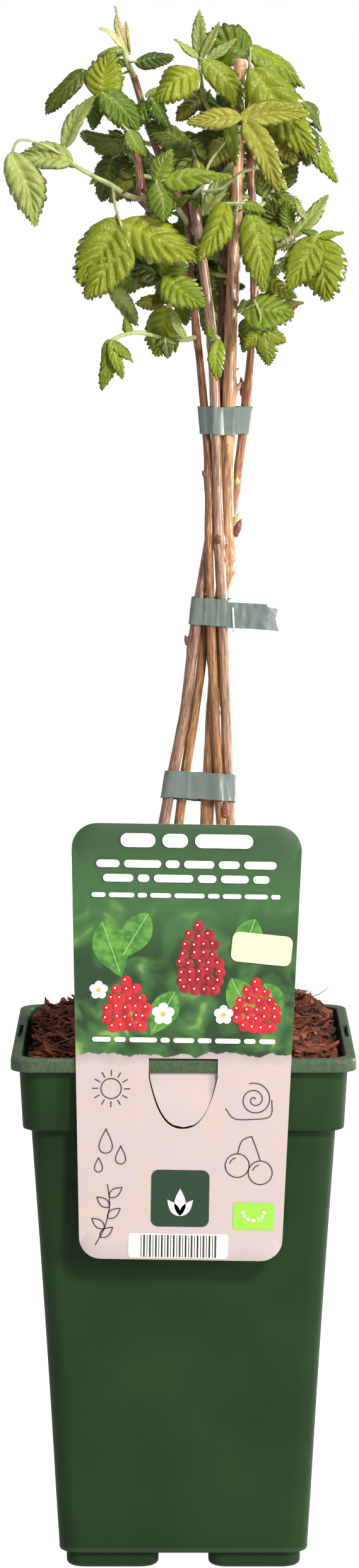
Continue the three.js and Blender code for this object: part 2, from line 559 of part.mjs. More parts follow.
// ---- shoots -----------------------------------------------------------------------------------------
// Each shoot springs from a limb at a height. `stem` lists where it grows on to, and each leaf
// gives the place of its node, its heading and the length of its end leaflet.
const SHOOTS = [
  {
    name: 'shoot_top_left', limb: 'cane_bent', tip: true, stem: [[-24.6, -3.5, 661], [-26.4, -4.4, 667]],
    leaves: [
      { at: [-25.3, -4.4, 667.5], turn: 104, size: 19, wide: 0.18, bend: 6, tint: 'cream' },
      { at: [-26.4, -5.7, 667], turn: 138, size: 14.5, wide: 0.26, bend: 10, tint: 'cream' },
      { at: [-23.8, -2, 664.5], turn: 95, size: 15, wide: 0.24, bend: 10, tint: 'cream' },
      { at: [-26.6, -6.6, 666], turn: 170, toward: 20, size: 14, wide: 0.3, bend: 80, tint: 'pale' },
      { at: [-20.5, -8.8, 660.5], turn: 16, toward: 15, size: 18, wide: 0.56, bend: 24, tint: 'deep' },
    ],
  },
  {
    name: 'shoot_top_middle', limb: 'cane_left', tip: true,
    stem: [[14.5, 7.5, 636.5], [9.6, 5.7, 643], [7, 2.2, 662.5]],
    leaves: [
      { at: [7, 2.2, 662.5], turn: 90, size: 22, wide: 0.28, bend: 10, tint: 'young' },
      { at: [6, 0, 662.8], turn: 138, size: 14, wide: 0.28, bend: 15, tint: 'pale' },
      { at: [8, 0, 662.6], turn: 66, size: 18.5, wide: 0.22, bend: 15, tint: 'pale' },
      { at: [11, 4.4, 662.2], turn: 40, toward: -10, size: 17, wide: 0.3, bend: 15, tint: 'pale' },
      { at: [6, -8.8, 656.6], turn: 196, toward: 35, size: 26.5, wide: 0.68, bend: 75, roll: -8,
        tint: 'lime' },
      { at: [9, -8.8, 661], turn: -36, toward: 20, size: 32, wide: 0.42, bend: 70, roll: 8,
        tint: 'lime' },
    ],
  },
  {
    name: 'shoot_top_right', limb: 'bough_right', tip: true, stem: [[28.6, 0, 654], [29, -2.2, 660]],
    leaves: [
      { at: [28.4, 4.4, 663], turn: 145, toward: -12, size: 27, wide: 0.74, bend: 36, tint: 'fresh' },
      { at: [29.5, 0, 667], turn: -27, toward: -5, size: 32, wide: 0.46, bend: 24, tint: 'fresh' },
      { at: [30, -13.2, 657], turn: -50, toward: 22, size: 49, wide: 0.44, bend: 42, roll: 14,
        tint: 'lime' },
      { at: [53, 15, 643], turn: -52, toward: -2, size: 16, wide: 0.6, bend: 20, tint: 'deep' },
    ],
  },
  {
    name: 'shoot_front_yellow', limb: 'cane_thick', height: 626,
    stem: [[23.8, -15.4, 632], [24.2, -26.4, 636]],
    leaves: [
      { at: [24, -28.6, 636], turn: 182, toward: 8, size: 24, wide: 0.4, bend: 20, roll: -20,
        tint: 'young' },
      { at: [25, -28.6, 636], turn: 7, toward: 8, size: 31, wide: 0.36, bend: 22, roll: 25,
        tint: 'young' },
      { at: [27, -30.8, 634], turn: -60, toward: 24, size: 35, wide: 0.36, bend: 24, tint: 'young' },
      { at: [18.8, -19.8, 632], turn: -76, toward: 6, size: 18.5, wide: 0.3, bend: 10, tint: 'fresh' },
      { at: [38.4, -33, 613.6], turn: -50, toward: 4, size: 12, wide: 0.42, bend: 16, tint: 'young' },
    ],
  },
  {
    name: 'shoot_far_right', limb: 'bough_right', height: 616,
    stem: [[36, 4.4, 625], [42, 4.4, 631], [55, 0, 632]],
    leaves: [
      { at: [55, 0, 630.6], turn: -56, toward: 6, size: 27, wide: 0.36, bend: 22, tint: 'fresh' },
      { at: [54.6, -8.8, 631.6], turn: -94, toward: 10, size: 17.5, wide: 0.64, bend: 20,
        tint: 'deep' },
      { at: [41.4, -11, 631.4], turn: -62, toward: 14, size: 18, wide: 0.86, bend: 26, tint: 'olive' },
    ],
  },
  {
    name: 'shoot_upper_left', limb: 'bough_left', tip: true, stem: [[-29, -4.4, 638], [-36, -8.8, 644.6]],
    leaves: [
      { at: [-35.4, -11, 645], turn: 82, toward: 12, size: 22, wide: 0.74, bend: 30, tint: 'lime' },
      { at: [-35, -15.4, 647], turn: -36, toward: 20, size: 24, wide: 0.66, bend: 34, tint: 'mid' },
      { at: [-43.6, -6.6, 656.6], turn: -142, toward: 6, size: 27, wide: 0.4, bend: 34, tint: 'deep' },
      { at: [-37.5, -11, 645.6], turn: -99, toward: 10, size: 16, wide: 0.5, bend: 16, tint: 'mid' },
      { at: [-23.6, -19.8, 630], turn: -50, toward: 12, size: 14, wide: 0.64, bend: 20, tint: 'mid' },
    ],
    stalks: [
      [[-36, -8.8, 644.6], [-40, -7.5, 652], [-44, -6.6, 656.8]],
      [[-36, -11, 644], [-30, -17.6, 637], [-23.8, -19.8, 630.4]],
    ],
  },
  {
    name: 'shoot_big_left', limb: 'bough_left', height: 601,
    stem: [
      [-26, -11, 603.5], [-31, -13.2, 607], [-40, -15.4, 611.5], [-47.5, -15.4, 616], [-52, -14.3, 624],
    ],
    leaves: [
      { at: [-52, -14.3, 624], turn: 62, toward: 6, size: 27, wide: 0.3, bend: 20, tint: 'pale' },
      { at: [-49, -17.6, 617.5], turn: 166, toward: 6, size: 25, wide: 0.6, bend: 30, tint: 'pale' },
      { at: [-74.4, -22, 620.6], turn: -70, toward: 4, size: 34, wide: 0.44, bend: 10, tint: 'pale' },
      { at: [-27.8, -22, 592], turn: -127, toward: 26, size: 35, wide: 0.62, bend: 20, tint: 'lime' },
      { at: [-26.6, -24.2, 591], turn: -18, toward: 22, size: 41, wide: 0.5, bend: 22, roll: 10,
        tint: 'lime' },
      { at: [-24, -28.6, 581], turn: -135, toward: 22, size: 31, wide: 0.62, bend: 25, tint: 'lime' },
      { at: [-31.5, 4.4, 564], turn: -64, toward: -4, size: 23, wide: 0.62, bend: 15, roll: 150,
        tint: 'pale' },
    ],
    stalks: [
      [[-49, -17.6, 617.5], [-62, -20.9, 625], [-71.5, -22, 626.2], [-74.8, -22, 619.8]],
      [[-31, -13.2, 606], [-29.6, -19.8, 598], [-27.4, -24.2, 591], [-23.6, -28.6, 580.4]],
      [[-28.2, -19.8, 594], [-33, -4.4, 582], [-31.5, 4.4, 566]],
    ],
  },
  {
    name: 'shoot_middle', limb: 'cane_bent', height: 590, stem: [[-4, -15.4, 599], [-11.6, -26.4, 608.8]],
    leaves: [
      { at: [-12, -26.4, 609], turn: 67, toward: 8, size: 16.5, wide: 0.68, bend: 20, tint: 'mid' },
      { at: [-8, -27.7, 609.4], turn: 11, toward: 22, size: 31, wide: 0.5, bend: 20, tint: 'fresh' },
      { at: [-11.6, -28.6, 607.6], turn: -77, toward: 20, size: 18, wide: 0.7, bend: 20, tint: 'mid' },
    ],
  },
  {
    name: 'shoot_left_dark', limb: 'bough_left', height: 616, stem: [[-22.5, 13.2, 620], [-27, 26.4, 623]],
    leaves: [
      { at: [-27, 26.4, 623], turn: 150, toward: -12, size: 18, three: true, bend: 30, back: true,
        tint: 'deep' },
      { at: [-31.5, 24.2, 619], turn: -108, toward: 4, size: 21, wide: 0.62, bend: 20, tint: 'deep' },
      { at: [-20, 19.8, 619], turn: -168, toward: 4, size: 13, wide: 0.52, bend: 20, tint: 'deep' },
    ],
  },
  {
    name: 'shoot_centre_left', limb: 'cane_bent', height: 564,
    stem: [[-3, -13.2, 567], [-9.5, -19.8, 567.5]],
    leaves: [
      { at: [-9.5, -19.8, 568], turn: 152, toward: 4, size: 18, wide: 0.86, bend: 20, tint: 'deep' },
      { at: [-9, -21.1, 568.2], turn: 64, toward: 10, size: 17, wide: 0.86, bend: 20, tint: 'fresh' },
      { at: [-8, -24.2, 567.4], turn: -27, toward: 26, size: 23, wide: 0.76, bend: 30, tint: 'fresh' },
      { at: [-7.6, -19.8, 558.6], turn: -176, toward: 6, size: 15, wide: 0.56, bend: 20,
        tint: 'olive' },
      { at: [-7.6, -9, 554], turn: -102, toward: 12, size: 23, wide: 0.7, bend: 12, tint: 'lime' },
    ],
  },
  {
    name: 'shoot_long_left', limb: 'cane_bent', height: 541,
    stem: [[1, -6.6, 540], [-8, -11, 540.4], [-18.7, -15.4, 543.2], [-27, -17.6, 542], [-32, -18.9, 539.6]],
    leaves: [
      { at: [-32.6, -18.9, 539.6], turn: -99, toward: 10, size: 23, wide: 0.32, bend: 14,
        tint: 'lime' },
      { at: [-31.6, -20.7, 539], turn: -70, toward: 14, size: 18, wide: 0.34, bend: 16, tint: 'fresh' },
      { at: [-31, -19.8, 539.4], turn: -38, toward: 12, size: 14, wide: 0.42, bend: 20, tint: 'fresh' },
      { at: [-8, -13.2, 540], turn: -80, toward: 30, size: 8, three: true, bend: 20, tint: 'deep' },
      { at: [0.4, -11, 541.4], turn: 118, toward: 4, size: 15, wide: 0.36, bend: 8, tint: 'pale' },
    ],
  },
  {
    name: 'shoot_right_of_stick', limb: 'cane_thick', height: 592,
    stem: [[22.8, -17.6, 597], [23, -28.6, 599.4]],
    leaves: [
      { at: [18.2, -29.9, 599.4], turn: -119, toward: 22, size: 29, wide: 0.46, bend: 22,
        tint: 'lime' },
      { at: [26.4, -28.6, 599.4], turn: -8, toward: 16, size: 11, wide: 0.6, bend: 44, tint: 'fresh' },
      { at: [29.2, -28.6, 595], turn: -79, toward: 16, size: 36, wide: 0.44, bend: 14, tint: 'lime' },
    ],
  },
  {
    name: 'shoot_right', limb: 'bough_right', height: 568,
    stem: [[35, 2.2, 573], [40, 0, 579.4], [48.2, -2.2, 585]],
    leaves: [
      { at: [48.2, -2.2, 585], turn: 52, toward: 0, size: 25, wide: 0.28, bend: 10, tint: 'pale' },
      { at: [54, -2.2, 592.6], turn: 120, toward: 4, size: 11, wide: 0.32, bend: 10, tint: 'pale' },
      { at: [44, -8.8, 586], turn: 158, toward: 14, size: 18, wide: 0.6, bend: 26, tint: 'fresh' },
      { at: [43, 8.8, 587], turn: 110, toward: -6, size: 18, bend: 30, back: true, tint: 'deep' },
      { at: [46, 2.2, 589], turn: 94, toward: 8, size: 13, wide: 0.6, bend: 24, tint: 'fresh' },
      { at: [59.6, -17.6, 585.4], turn: 14, toward: 8, size: 11.5, wide: 0.46, bend: 20,
        tint: 'fresh' },
      { at: [58, -15.4, 586], turn: 160, toward: 8, size: 8, wide: 0.6, bend: 24, tint: 'mid' },
      { at: [58, -17.6, 584.4], turn: -122, toward: 16, size: 27, wide: 0.58, bend: 18, tint: 'fresh' },
      { at: [57.8, -17.6, 584.6], turn: -79, toward: 10, size: 29.5, wide: 0.7, bend: 18,
        tint: 'fresh' },
      { at: [37, 11, 566.4], turn: -27, toward: 4, size: 17, wide: 0.62, bend: 16, tint: 'lime' },
    ],
    stalks: [[[40, 0, 579], [50, -13.2, 582.6], [59.2, -17.6, 585.2]]],
  },
  {
    name: 'shoot_right_low', limb: 'bough_right', height: 550, stem: [[32, -13.2, 555], [31, -19.8, 556.6]],
    leaves: [
      { at: [27, -21.1, 553.6], turn: 4, toward: 22, size: 23, wide: 0.86, bend: 30, tint: 'mid' },
      { at: [35, -26.4, 544.4], turn: -80, toward: 18, size: 14, three: true, small: 0.9,
        spread: 60, tint: 'lime' },
      { at: [28, -8.8, 548.6], turn: -98, toward: 6, size: 15.5, wide: 0.56, bend: 16, tint: 'deep' },
    ],
    stalks: [[[31, -19.8, 556.6], [33.4, -26.4, 551], [33, -26.4, 543.8]]],
  },
  {
    name: 'shoot_low_front', limb: 'cane_pale', height: 539,
    stem: [[14, -17.6, 541.6], [15.6, -19.8, 540.6]],
    leaves: [
      { at: [15.2, -19.8, 539.6], turn: -92, toward: 8, size: 18.5, wide: 0.38, bend: 10,
        tint: 'deep' },
    ],
  },
  {
    name: 'shoot_pale_middle', limb: 'cane_pale', tip: true, stem: [[5, -10.1, 603], [8, -13.2, 606]],
    leaves: [
      { at: [8.4, -14.1, 594.8], turn: 62, toward: 4, size: 27, wide: 0.3, bend: 8, tint: 'pale' },
      { at: [7.6, -11, 607], turn: 100, toward: 4, size: 14, wide: 0.62, bend: 24, tint: 'olive' },
      { at: [4, -6.6, 622], turn: 141, toward: 10, size: 25, wide: 0.62, bend: 22, tint: 'deep' },
      { at: [18.6, -11.9, 626.4], turn: -127, toward: 8, size: 15, wide: 0.8, bend: 20, tint: 'olive' },
      { at: [33, -17.6, 614.4], turn: 8, toward: 4, size: 14, wide: 0.3, bend: 8, tint: 'fresh' },
    ],
    stalks: [
      [[8, -13.2, 606], [8.6, -14.1, 600], [8.4, -14.1, 594]],
      [[8, -13.2, 605], [7, -11, 614], [4, -6.6, 622.4]],
      [[8, -13.2, 605.4], [11, -12.3, 616], [18.4, -11.9, 626]],
      [[8, -13.2, 604.6], [17, -18.7, 606], [24.5, -19.8, 612.4], [33, -17.6, 614.6]],
    ],
  },
  {
    name: 'shoot_inner', limb: 'cane_left', height: 590, stem: [[15, 19.8, 594], [11, 24.2, 592]],
    leaves: [
      { at: [13.4, 21.1, 591], turn: -88, toward: 2, size: 24, wide: 0.5, bend: 10, tint: 'deep' },
      { at: [10, 24.2, 592], turn: -6, toward: -12, size: 18, wide: 0.6, bend: 16, tint: 'deep' },
      { at: [9, 24.2, 593], turn: 128, toward: -6, size: 21, wide: 0.6, bend: 20, tint: 'mid' },
      { at: [8, 24.2, 590], turn: -152, toward: -4, size: 21, wide: 0.6, bend: 20, tint: 'deep' },
    ],
  },
  {
    name: 'shoot_inner_low', limb: 'cane_left', height: 560, stem: [[15, 19.8, 564], [13, 22, 562]],
    leaves: [
      { at: [-0.8, 18, 555], turn: -76, toward: 0, size: 11, wide: 0.66, bend: 14, tint: 'lime' },
      { at: [13.6, 22, 561], turn: -93, toward: 2, size: 24, wide: 0.5, bend: 10, tint: 'deep' },
      { at: [12, 24.2, 563], turn: -172, toward: -6, size: 15, wide: 0.6, bend: 16, tint: 'mid' },
      { at: [14, 24.2, 563], turn: 4, toward: -6, size: 15, wide: 0.66, bend: 16, tint: 'deep' },
    ],
  },
];

// Shoots of the side away from the front: they spring by a seeded rule from limbs at set heights.
const BACK_SHOOTS = 7;
const BACK_LEAVES = 2;           // compound leaves on each of them
const BACK_LIMBS = ['cane_thick', 'bough_right', 'cane_left', 'cane_bent'];
const BACK_LOW = 564;
const BACK_HIGH = 630;
const BACK_SEED = 1907;
const BACK_HEADINGS = [134, 66];     // degrees from the right towards the back
const BACK_RISE = [0.2, 0.4];        // how steeply a back shoot climbs
const BACK_REACH = [38, 52];
const BACK_NODES = [0.66, 1];        // where its first and last leaves stand on it
const BACK_SWING = 0.8;              // radians that its lower leaves turn aside
const BACK_DROOP = [20, 50];         // degrees that its leaves hang
const BACK_AWAY = [-10, 62];         // least and greatest turn away from the front
const BACK_SIZE = [18, 27];
const BACK_SPREAD = [62, 74];
const BACK_BEND = [26, 46];
const BACK_TINTS = ['deep', 'mid', 'mid', 'fresh', 'olive'];

function seededRandom(seed) {
  let state = seed;
  return () => {
    state = (state * 16807) % 2147483647;
    return state / 2147483647;
  };
}

function between([low, high], share) {
  return low + (high - low) * share;
}

function backShoots() {
  const random = seededRandom(BACK_SEED);
  const shoots = [];
  for (let i = 0; i < BACK_SHOOTS; i += 1) {
    const limb = BACK_LIMBS[i % BACK_LIMBS.length];
    const height = between([BACK_LOW, BACK_HIGH], i / (BACK_SHOOTS - 1));
    const start = limbAt(limb, height).point;
    const fan = ((i * 3) % BACK_SHOOTS) / (BACK_SHOOTS - 1);
    const heading = THREE.MathUtils.degToRad(between(BACK_HEADINGS, fan));
    const out = new THREE.Vector3(Math.cos(heading), Math.sin(heading), between(BACK_RISE, random()));
    const reach = between(BACK_REACH, random());
    const place = (part) => start.clone().addScaledVector(out, part * reach).toArray();
    const leaves = [];
    for (let k = 0; k < BACK_LEAVES; k += 1) {
      const hand = k === BACK_LEAVES - 1 ? 0 : BACK_SWING * (1 - 2 * Math.round(random()));
      const across = Math.cos(heading + hand);
      const depth = THREE.MathUtils.radToDeg(Math.asin(Math.sin(heading + hand)));
      const droop = between(BACK_DROOP, random());
      leaves.push({
        at: place(between(BACK_NODES, k / (BACK_LEAVES - 1))),
        turn: across > 0 ? -droop : 180 + droop,
        toward: -THREE.MathUtils.clamp(depth * 0.8, ...BACK_AWAY),
        size: between(BACK_SIZE, random()),
        three: true,
        spread: between(BACK_SPREAD, random()),
        bend: between(BACK_BEND, random()),
        back: true,
        away: true,
        tint: BACK_TINTS[Math.floor(random() * BACK_TINTS.length)],
      });
    }
    shoots.push({
      name: `shoot_back_${i + 1}`,
      limb,
      height,
      stem: [place(0.4), place(0.7), place(1)],
      leaves,
    });
  }
  return shoots;
}

const TINTS = {
  lime: 0xa3bf3a, fresh: 0x7ba52f, mid: 0x557f2b, deep: 0x2e5522, olive: 0x5f6b2e,
  young: 0xb4b550, cream: 0xd6cd8c, pale: 0x9fb37c,
};

// The space of the crown. The leaves of the side away keep to its full middle.
const CROWN = { min: [-80, -74, 512], max: [71, 74, 687] };
const CROWN_AWAY = { min: [-46, -10, 544], max: [54, 74, 664] };

function within(solid, space) {
  const { min, max } = solid.boundingBox();
  return [0, 1, 2].every((i) => min[i] >= space.min[i] && max[i] <= space.max[i]);
}

// A leaf is tried where it is named and then a little nearer or further, and is left out if it
// would still touch a limb or another shoot, or leave its space.
const TRIES = [0, -2.5, 2.5, -5, 5, -8, 8, 13, 18];

function nearestOnStem(samples, place) {
  return samples.reduce((best, p) => (p.distanceTo(place) < best.distanceTo(place) ? p : best));
}

// The points of a stalk, with its foot moved onto the stem and sunk a little into it.
function rooted(samples, points) {
  const [foot, ...rest] = points;
  const start = nearestOnStem(samples, new THREE.Vector3(...foot)).clone();
  const heading = new THREE.Vector3(...rest[0]).sub(start).normalize();
  return [start.addScaledVector(heading, -STALK_SINK).toArray(), ...rest];
}

function makeShoot(spec, obstacles) {
  const root = spec.tip
    ? limbCurves[spec.limb].getPoint(1)
    : limbAt(spec.limb, spec.height).point;
  const before = spec.tip
    ? root.clone().addScaledVector(limbCurves[spec.limb].getTangent(1), -TIP_SINK)
    : root;
  const points = [before.toArray(), ...spec.stem];
  if (spec.tip) {
    points.splice(1, 0, root.toArray());
  }
  const stemCurve = smoothCurve(points);
  const stemSteps = Math.max(2, Math.round(stemCurve.getLength() / STEM_STEP));
  const stemRadius = (t) => THREE.MathUtils.lerp(STEM_FOOT, STEM_TIP, t);
  const solids = [limbSolid(stemCurve, stemRadius, STEM_SIDES, stemSteps)];
  const samples = stemCurve.getPoints(24).slice(6);
  for (const stalk of spec.stalks ?? []) {
    const curve = smoothCurve(rooted(samples, stalk));
    solids.push(limbSolid(curve, () => STALK_RADIUS, STALK_SIDES, stalk.length));
    samples.push(...curve.getPoints(12));
  }
  const touches = (solid) => obstacles.some((other) => overlap(solid, other));
  for (const leaf of spec.leaves) {
    for (const shift of TRIES) {
      const node = new THREE.Vector3(...leaf.at).add(new THREE.Vector3(0, shift, 0));
      const parts = leafBlades(node, leaf);
      const stem = nearestOnStem(samples, node);
      if (stem.distanceTo(node) > STALK_JOIN) {
        const curve = smoothCurve(rooted([stem], [stem.toArray(), node.toArray()]));
        parts.push(limbSolid(curve, () => STALK_RADIUS, STALK_SIDES, 1));
      }
      const whole = join(parts);
      if (within(whole, leaf.away ? CROWN_AWAY : CROWN) && !touches(whole)) {
        solids.push(whole);
        break;
      }
      whole.delete();
    }
  }
  let shoot = join(solids);
  for (const other of obstacles.filter((solid) => overlap(shoot, solid))) {
    const cut = shoot.subtract(other);
    shoot.delete();
    shoot = cut;
  }
  return largestPiece(shoot.simplify(MERGE));
}

// ---- assembly ---------------------------------------------------------------------------------------
addNode('pot', makePot(), 0x35553a, 0.55);
addNode('mulch', makeMulch(), 0x4a2a1c, 0.95);
addNode('label', makeLabel(), 0xd9c4bd, 0.45);

for (const [name, spec] of Object.entries(CANES)) {
  makeLimb(name, spec);
}
for (const [name, spec] of Object.entries(BOUGHS)) {
  makeLimb(name, spec, limbGuards[spec.from]);
}
for (const [name, solid] of Object.entries(limbSolids)) {
  addNode(name, solid, (CANES[name] ?? BOUGHS[name]).colour, 0.6);
}

const LOW_TIE = 341.6;
const MIDDLE_TIE = 420;
const TOP_TIE = 504.4;
const tieLow = tapeBand(['cane_left', 'cane_short', 'cane_thick', 'cane_pale', 'cane_bent'],
  LOW_TIE, -0.05, -0.22);
const tieMiddle = tapeBand(['cane_left', 'cane_short', 'cane_bent', 'cane_pale', 'cane_thick'],
  MIDDLE_TIE, -0.06, 0);
const tieTop = tapeBand(['cane_bent', 'cane_pale', 'cane_left', 'cane_thick', 'bough_right'],
  TOP_TIE, 0, 0);

// The stapled end of the middle tape: two layers that stand out to the right, and the staple. Each
// is a box over a range of x, of y, and of z from the tape's middle.
const TAIL = [
  { x: [20, 40.8], y: [-4.6, -3.8], z: [-7.6, 3.8] },
  { x: [19, 36.6], y: [-5.4, -4.5], z: [-6.6, 5.4] },
  { x: [21.8, 22.9], y: [-6, -3.2], z: [-6, 4] },
];

function tapeTail() {
  return join(TAIL.map(({ x, y, z }) => box(...x, ...y, MIDDLE_TIE + z[0], MIDDLE_TIE + z[1])));
}

addNode('tie_low', tieLow, 0x7d8b83, 0.6);
addNode('tie_middle', tieMiddle.add(tapeTail()), 0x7d8b83, 0.6);
addNode('tie_top', tieTop, 0x8c9a94, 0.6);

const obstacles = Object.values(limbGuards);
for (const spec of [...SHOOTS, ...backShoots()]) {
  const shoot = makeShoot(spec, obstacles);
  obstacles.push(shoot);
  addNode(spec.name, shoot, TINTS[spec.leaves[0].tint], 0.6);
}

export default group;
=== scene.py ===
"""Raspberry cane in a tall square pot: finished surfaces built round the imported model.

Sizes in the tables are millimetres in the part's own frame: +Z up, -Y the front, and the origin on
the ground under the middle of the pot. MM turns them into Blender's metres when a mesh is made.
"""
import json
import math
from functools import partial

import bpy
import numpy as np
from bpy.props import FloatProperty, FloatVectorProperty, IntProperty, PointerProperty
from mathutils import Color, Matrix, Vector
from mathutils.bvhtree import BVHTree

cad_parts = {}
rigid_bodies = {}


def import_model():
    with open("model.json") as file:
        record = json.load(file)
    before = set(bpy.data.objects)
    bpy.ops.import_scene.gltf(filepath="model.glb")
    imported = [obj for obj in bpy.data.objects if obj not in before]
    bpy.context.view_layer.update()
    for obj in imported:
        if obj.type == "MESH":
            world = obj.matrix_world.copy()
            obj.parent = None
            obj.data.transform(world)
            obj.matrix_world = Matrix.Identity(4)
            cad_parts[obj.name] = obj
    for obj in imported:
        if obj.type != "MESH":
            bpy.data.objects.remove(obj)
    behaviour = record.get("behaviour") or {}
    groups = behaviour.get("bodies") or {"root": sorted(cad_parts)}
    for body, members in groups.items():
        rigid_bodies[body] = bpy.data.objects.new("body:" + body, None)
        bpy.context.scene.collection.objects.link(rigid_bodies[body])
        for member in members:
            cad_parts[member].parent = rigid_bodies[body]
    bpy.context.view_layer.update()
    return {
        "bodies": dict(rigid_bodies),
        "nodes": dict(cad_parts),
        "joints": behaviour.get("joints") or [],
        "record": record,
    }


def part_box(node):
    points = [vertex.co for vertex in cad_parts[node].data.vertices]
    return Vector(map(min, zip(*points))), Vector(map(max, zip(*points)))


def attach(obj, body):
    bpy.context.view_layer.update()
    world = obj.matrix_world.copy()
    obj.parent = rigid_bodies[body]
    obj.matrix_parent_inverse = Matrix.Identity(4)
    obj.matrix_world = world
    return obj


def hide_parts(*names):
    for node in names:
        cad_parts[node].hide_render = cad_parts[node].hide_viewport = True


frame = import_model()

bl_info = {
    "name": "Raspberry Cane in a Pot",
    "version": (1, 0, 0),
    "blender": (4, 5, 0),
    "location": "View3D > Sidebar > Plant",
    "description": "Builds the pot, mulch, label, canes, tapes and leafy shoots of a potted raspberry",
    "category": "Object",
}

MM = 0.001


# ---- colours and materials ----

def linear(hex_colour):
    """An sRGB hex value as linear light: c / 12.92 up to 0.04045, and ((c + 0.055) / 1.055) ^ 2.4
    above it."""
    c = np.array([int(hex_colour[i:i + 2], 16) / 255 for i in (1, 3, 5)])
    return tuple(np.where(c <= 0.04045, c / 12.92, ((c + 0.055) / 1.055) ** 2.4))


def rgba(colour):
    """A hex value or a colour of the settings, with full alpha."""
    return tuple(linear(colour) if isinstance(colour, str) else colour) + (1.0,)


def hue(name, hex_colour):
    """A colour that a user may change, named for what has it."""
    return FloatVectorProperty(name=name, description=f"The colour of the {name.lower()}", size=3,
                               subtype="COLOR", min=0.0, max=1.0, default=linear(hex_colour))


# Shader nodes by a short name: Blender's type after "ShaderNode", its fixed settings, the sockets that
# values go to in their order, and the output that is used.
NODE_KINDS = {
    "object place": ("TexCoord", {}, (), "Object"),
    "value of": ("Attribute", {}, (), "Fac"),
    "vector of": ("Attribute", {}, (), "Vector"),
    "split": ("SeparateXYZ", {}, (0,), "Z"),
    "noise": ("TexNoise", {}, ("Vector", "Scale", "Detail", "Roughness", "Distortion"), 0),
    "cells": ("TexVoronoi", {}, ("Vector", "Scale"), "Distance"),
    "mix": ("Mix", {"data_type": "RGBA"}, (0, 6, 7), 2),
    "range": ("MapRange", {}, (0, 1, 2, 3, 4), 0),
    "times": ("Math", {"operation": "MULTIPLY"}, (0, 1), 0),
    "plus": ("Math", {"operation": "ADD"}, (0, 1), 0),
    "sine": ("Math", {"operation": "SINE"}, (0,), 0),
    "bump": ("Bump", {}, ("Strength", "Distance", "Height"), 0),
    "through": ("BsdfTranslucent", {}, ("Color",), 0),
    "blend": ("MixShader", {}, (0, 1, 2), 0),
    "seen": ("LightPath", {}, (), "Is Camera Ray"),
}


def fill_sockets(tree, node, inputs):
    """Sets each value on its socket, or links the output of another node to it."""
    for key, value in inputs.items():
        if isinstance(value, bpy.types.NodeSocket):
            tree.links.new(value, node.inputs[key])
        else:
            node.inputs[key].default_value = rgba(value) if isinstance(value, (str, Color)) else value


def add_node(tree, kind, *values, output=None, **settings):
    """Adds a node with its settings and links, and gives its output."""
    made, fixed, sockets, result = NODE_KINDS[kind]
    node = tree.nodes.new(f"ShaderNode{made}")
    for key, value in (fixed | settings).items():
        setattr(node, key, value)
    fill_sockets(tree, node, dict(zip(sockets, values)))
    return node.outputs[result if output is None else output]


def node_of(tree, kind):
    return next(n for n in tree.nodes if n.type == kind)


def new_material(name, **constants):
    """A material with one Principled shader and the constants on its sockets. Also gives add_node for
    its tree, and a function that feeds the shader's sockets, named in small letters."""
    material = bpy.data.materials.new(name)
    material.use_nodes = True
    tree = material.node_tree

    def feed(**inputs):
        sockets = {key.replace("_", " ").title().replace("Ior", "IOR"): v for key, v in inputs.items()}
        fill_sockets(tree, node_of(tree, "BSDF_PRINCIPLED"), sockets)

    feed(**constants)
    return material, partial(add_node, tree), feed


def stain(add, base, colour, value, *limits):
    """Mixes a colour over a base by a value, mapped by the limits: from low and high, to low and high."""
    return add("mix", add("range", value, *limits), base, colour)


def two_toned(name, colour, second, size, detail, limits, bump=None, **constants):
    """A material of two colours mixed by a noise of a size in millimetres, which may also raise it by
    a strength and a height."""
    material, add, feed = new_material(name, **constants)
    noise = add("noise", add("object place"), per_mm(size), detail)
    feed(base_color=stain(add, colour, second, noise, *limits))
    if bump:
        feed(normal=add("bump", bump[0], bump[1] * MM, noise))
    return material


def per_mm(millimetres):
    """The scale at which a pattern on Object coordinates, in metres, has features of this size."""
    return 1.0 / (millimetres * MM)


# ---- meshes ----

def grid_faces(rows, cols, wrap_rows=False):
    """Corners of the quads of a grid of points that is closed across, each from its point, the next
    one across, the next one across and along, and the next one along."""
    i = np.arange(rows if wrap_rows else rows - 1)[:, None]
    j = np.arange(cols)[None, :]
    i2, j2 = (i + 1) % rows, (j + 1) % cols
    corners = np.broadcast_arrays(i * cols + j, i * cols + j2, i2 * cols + j2, i2 * cols + j)
    return np.stack(corners, -1).reshape(-1, 4)


def tube_faces(rows, cols, slot=0, cut_rows=0):
    """Faces of rings whose ends are fans to the two points that ended() adds. The far end and the last
    few rows may be a cut face, which is in slot 1."""
    j = np.arange(cols)
    k, low, last = (j + 1) % cols, np.full(cols, rows * cols), (rows - 1) * cols
    quads, end = grid_faces(rows, cols), (rows - 1 - cut_rows) * cols
    far = 1 if cut_rows else slot
    return [(quads[:end], slot), (quads[end:], far), (np.stack([low, k, j], -1), slot),
            (np.stack([low + 1, last + j, last + k], -1), far)]


def ended(grid):
    """Rings (..., rows, cols, n) as one run of points, then the middle of the first and last ring."""
    flat = grid.reshape(*grid.shape[:-3], -1, grid.shape[-1])
    return np.concatenate([flat, grid[..., [0, -1], :, :].mean(-2)], -2)


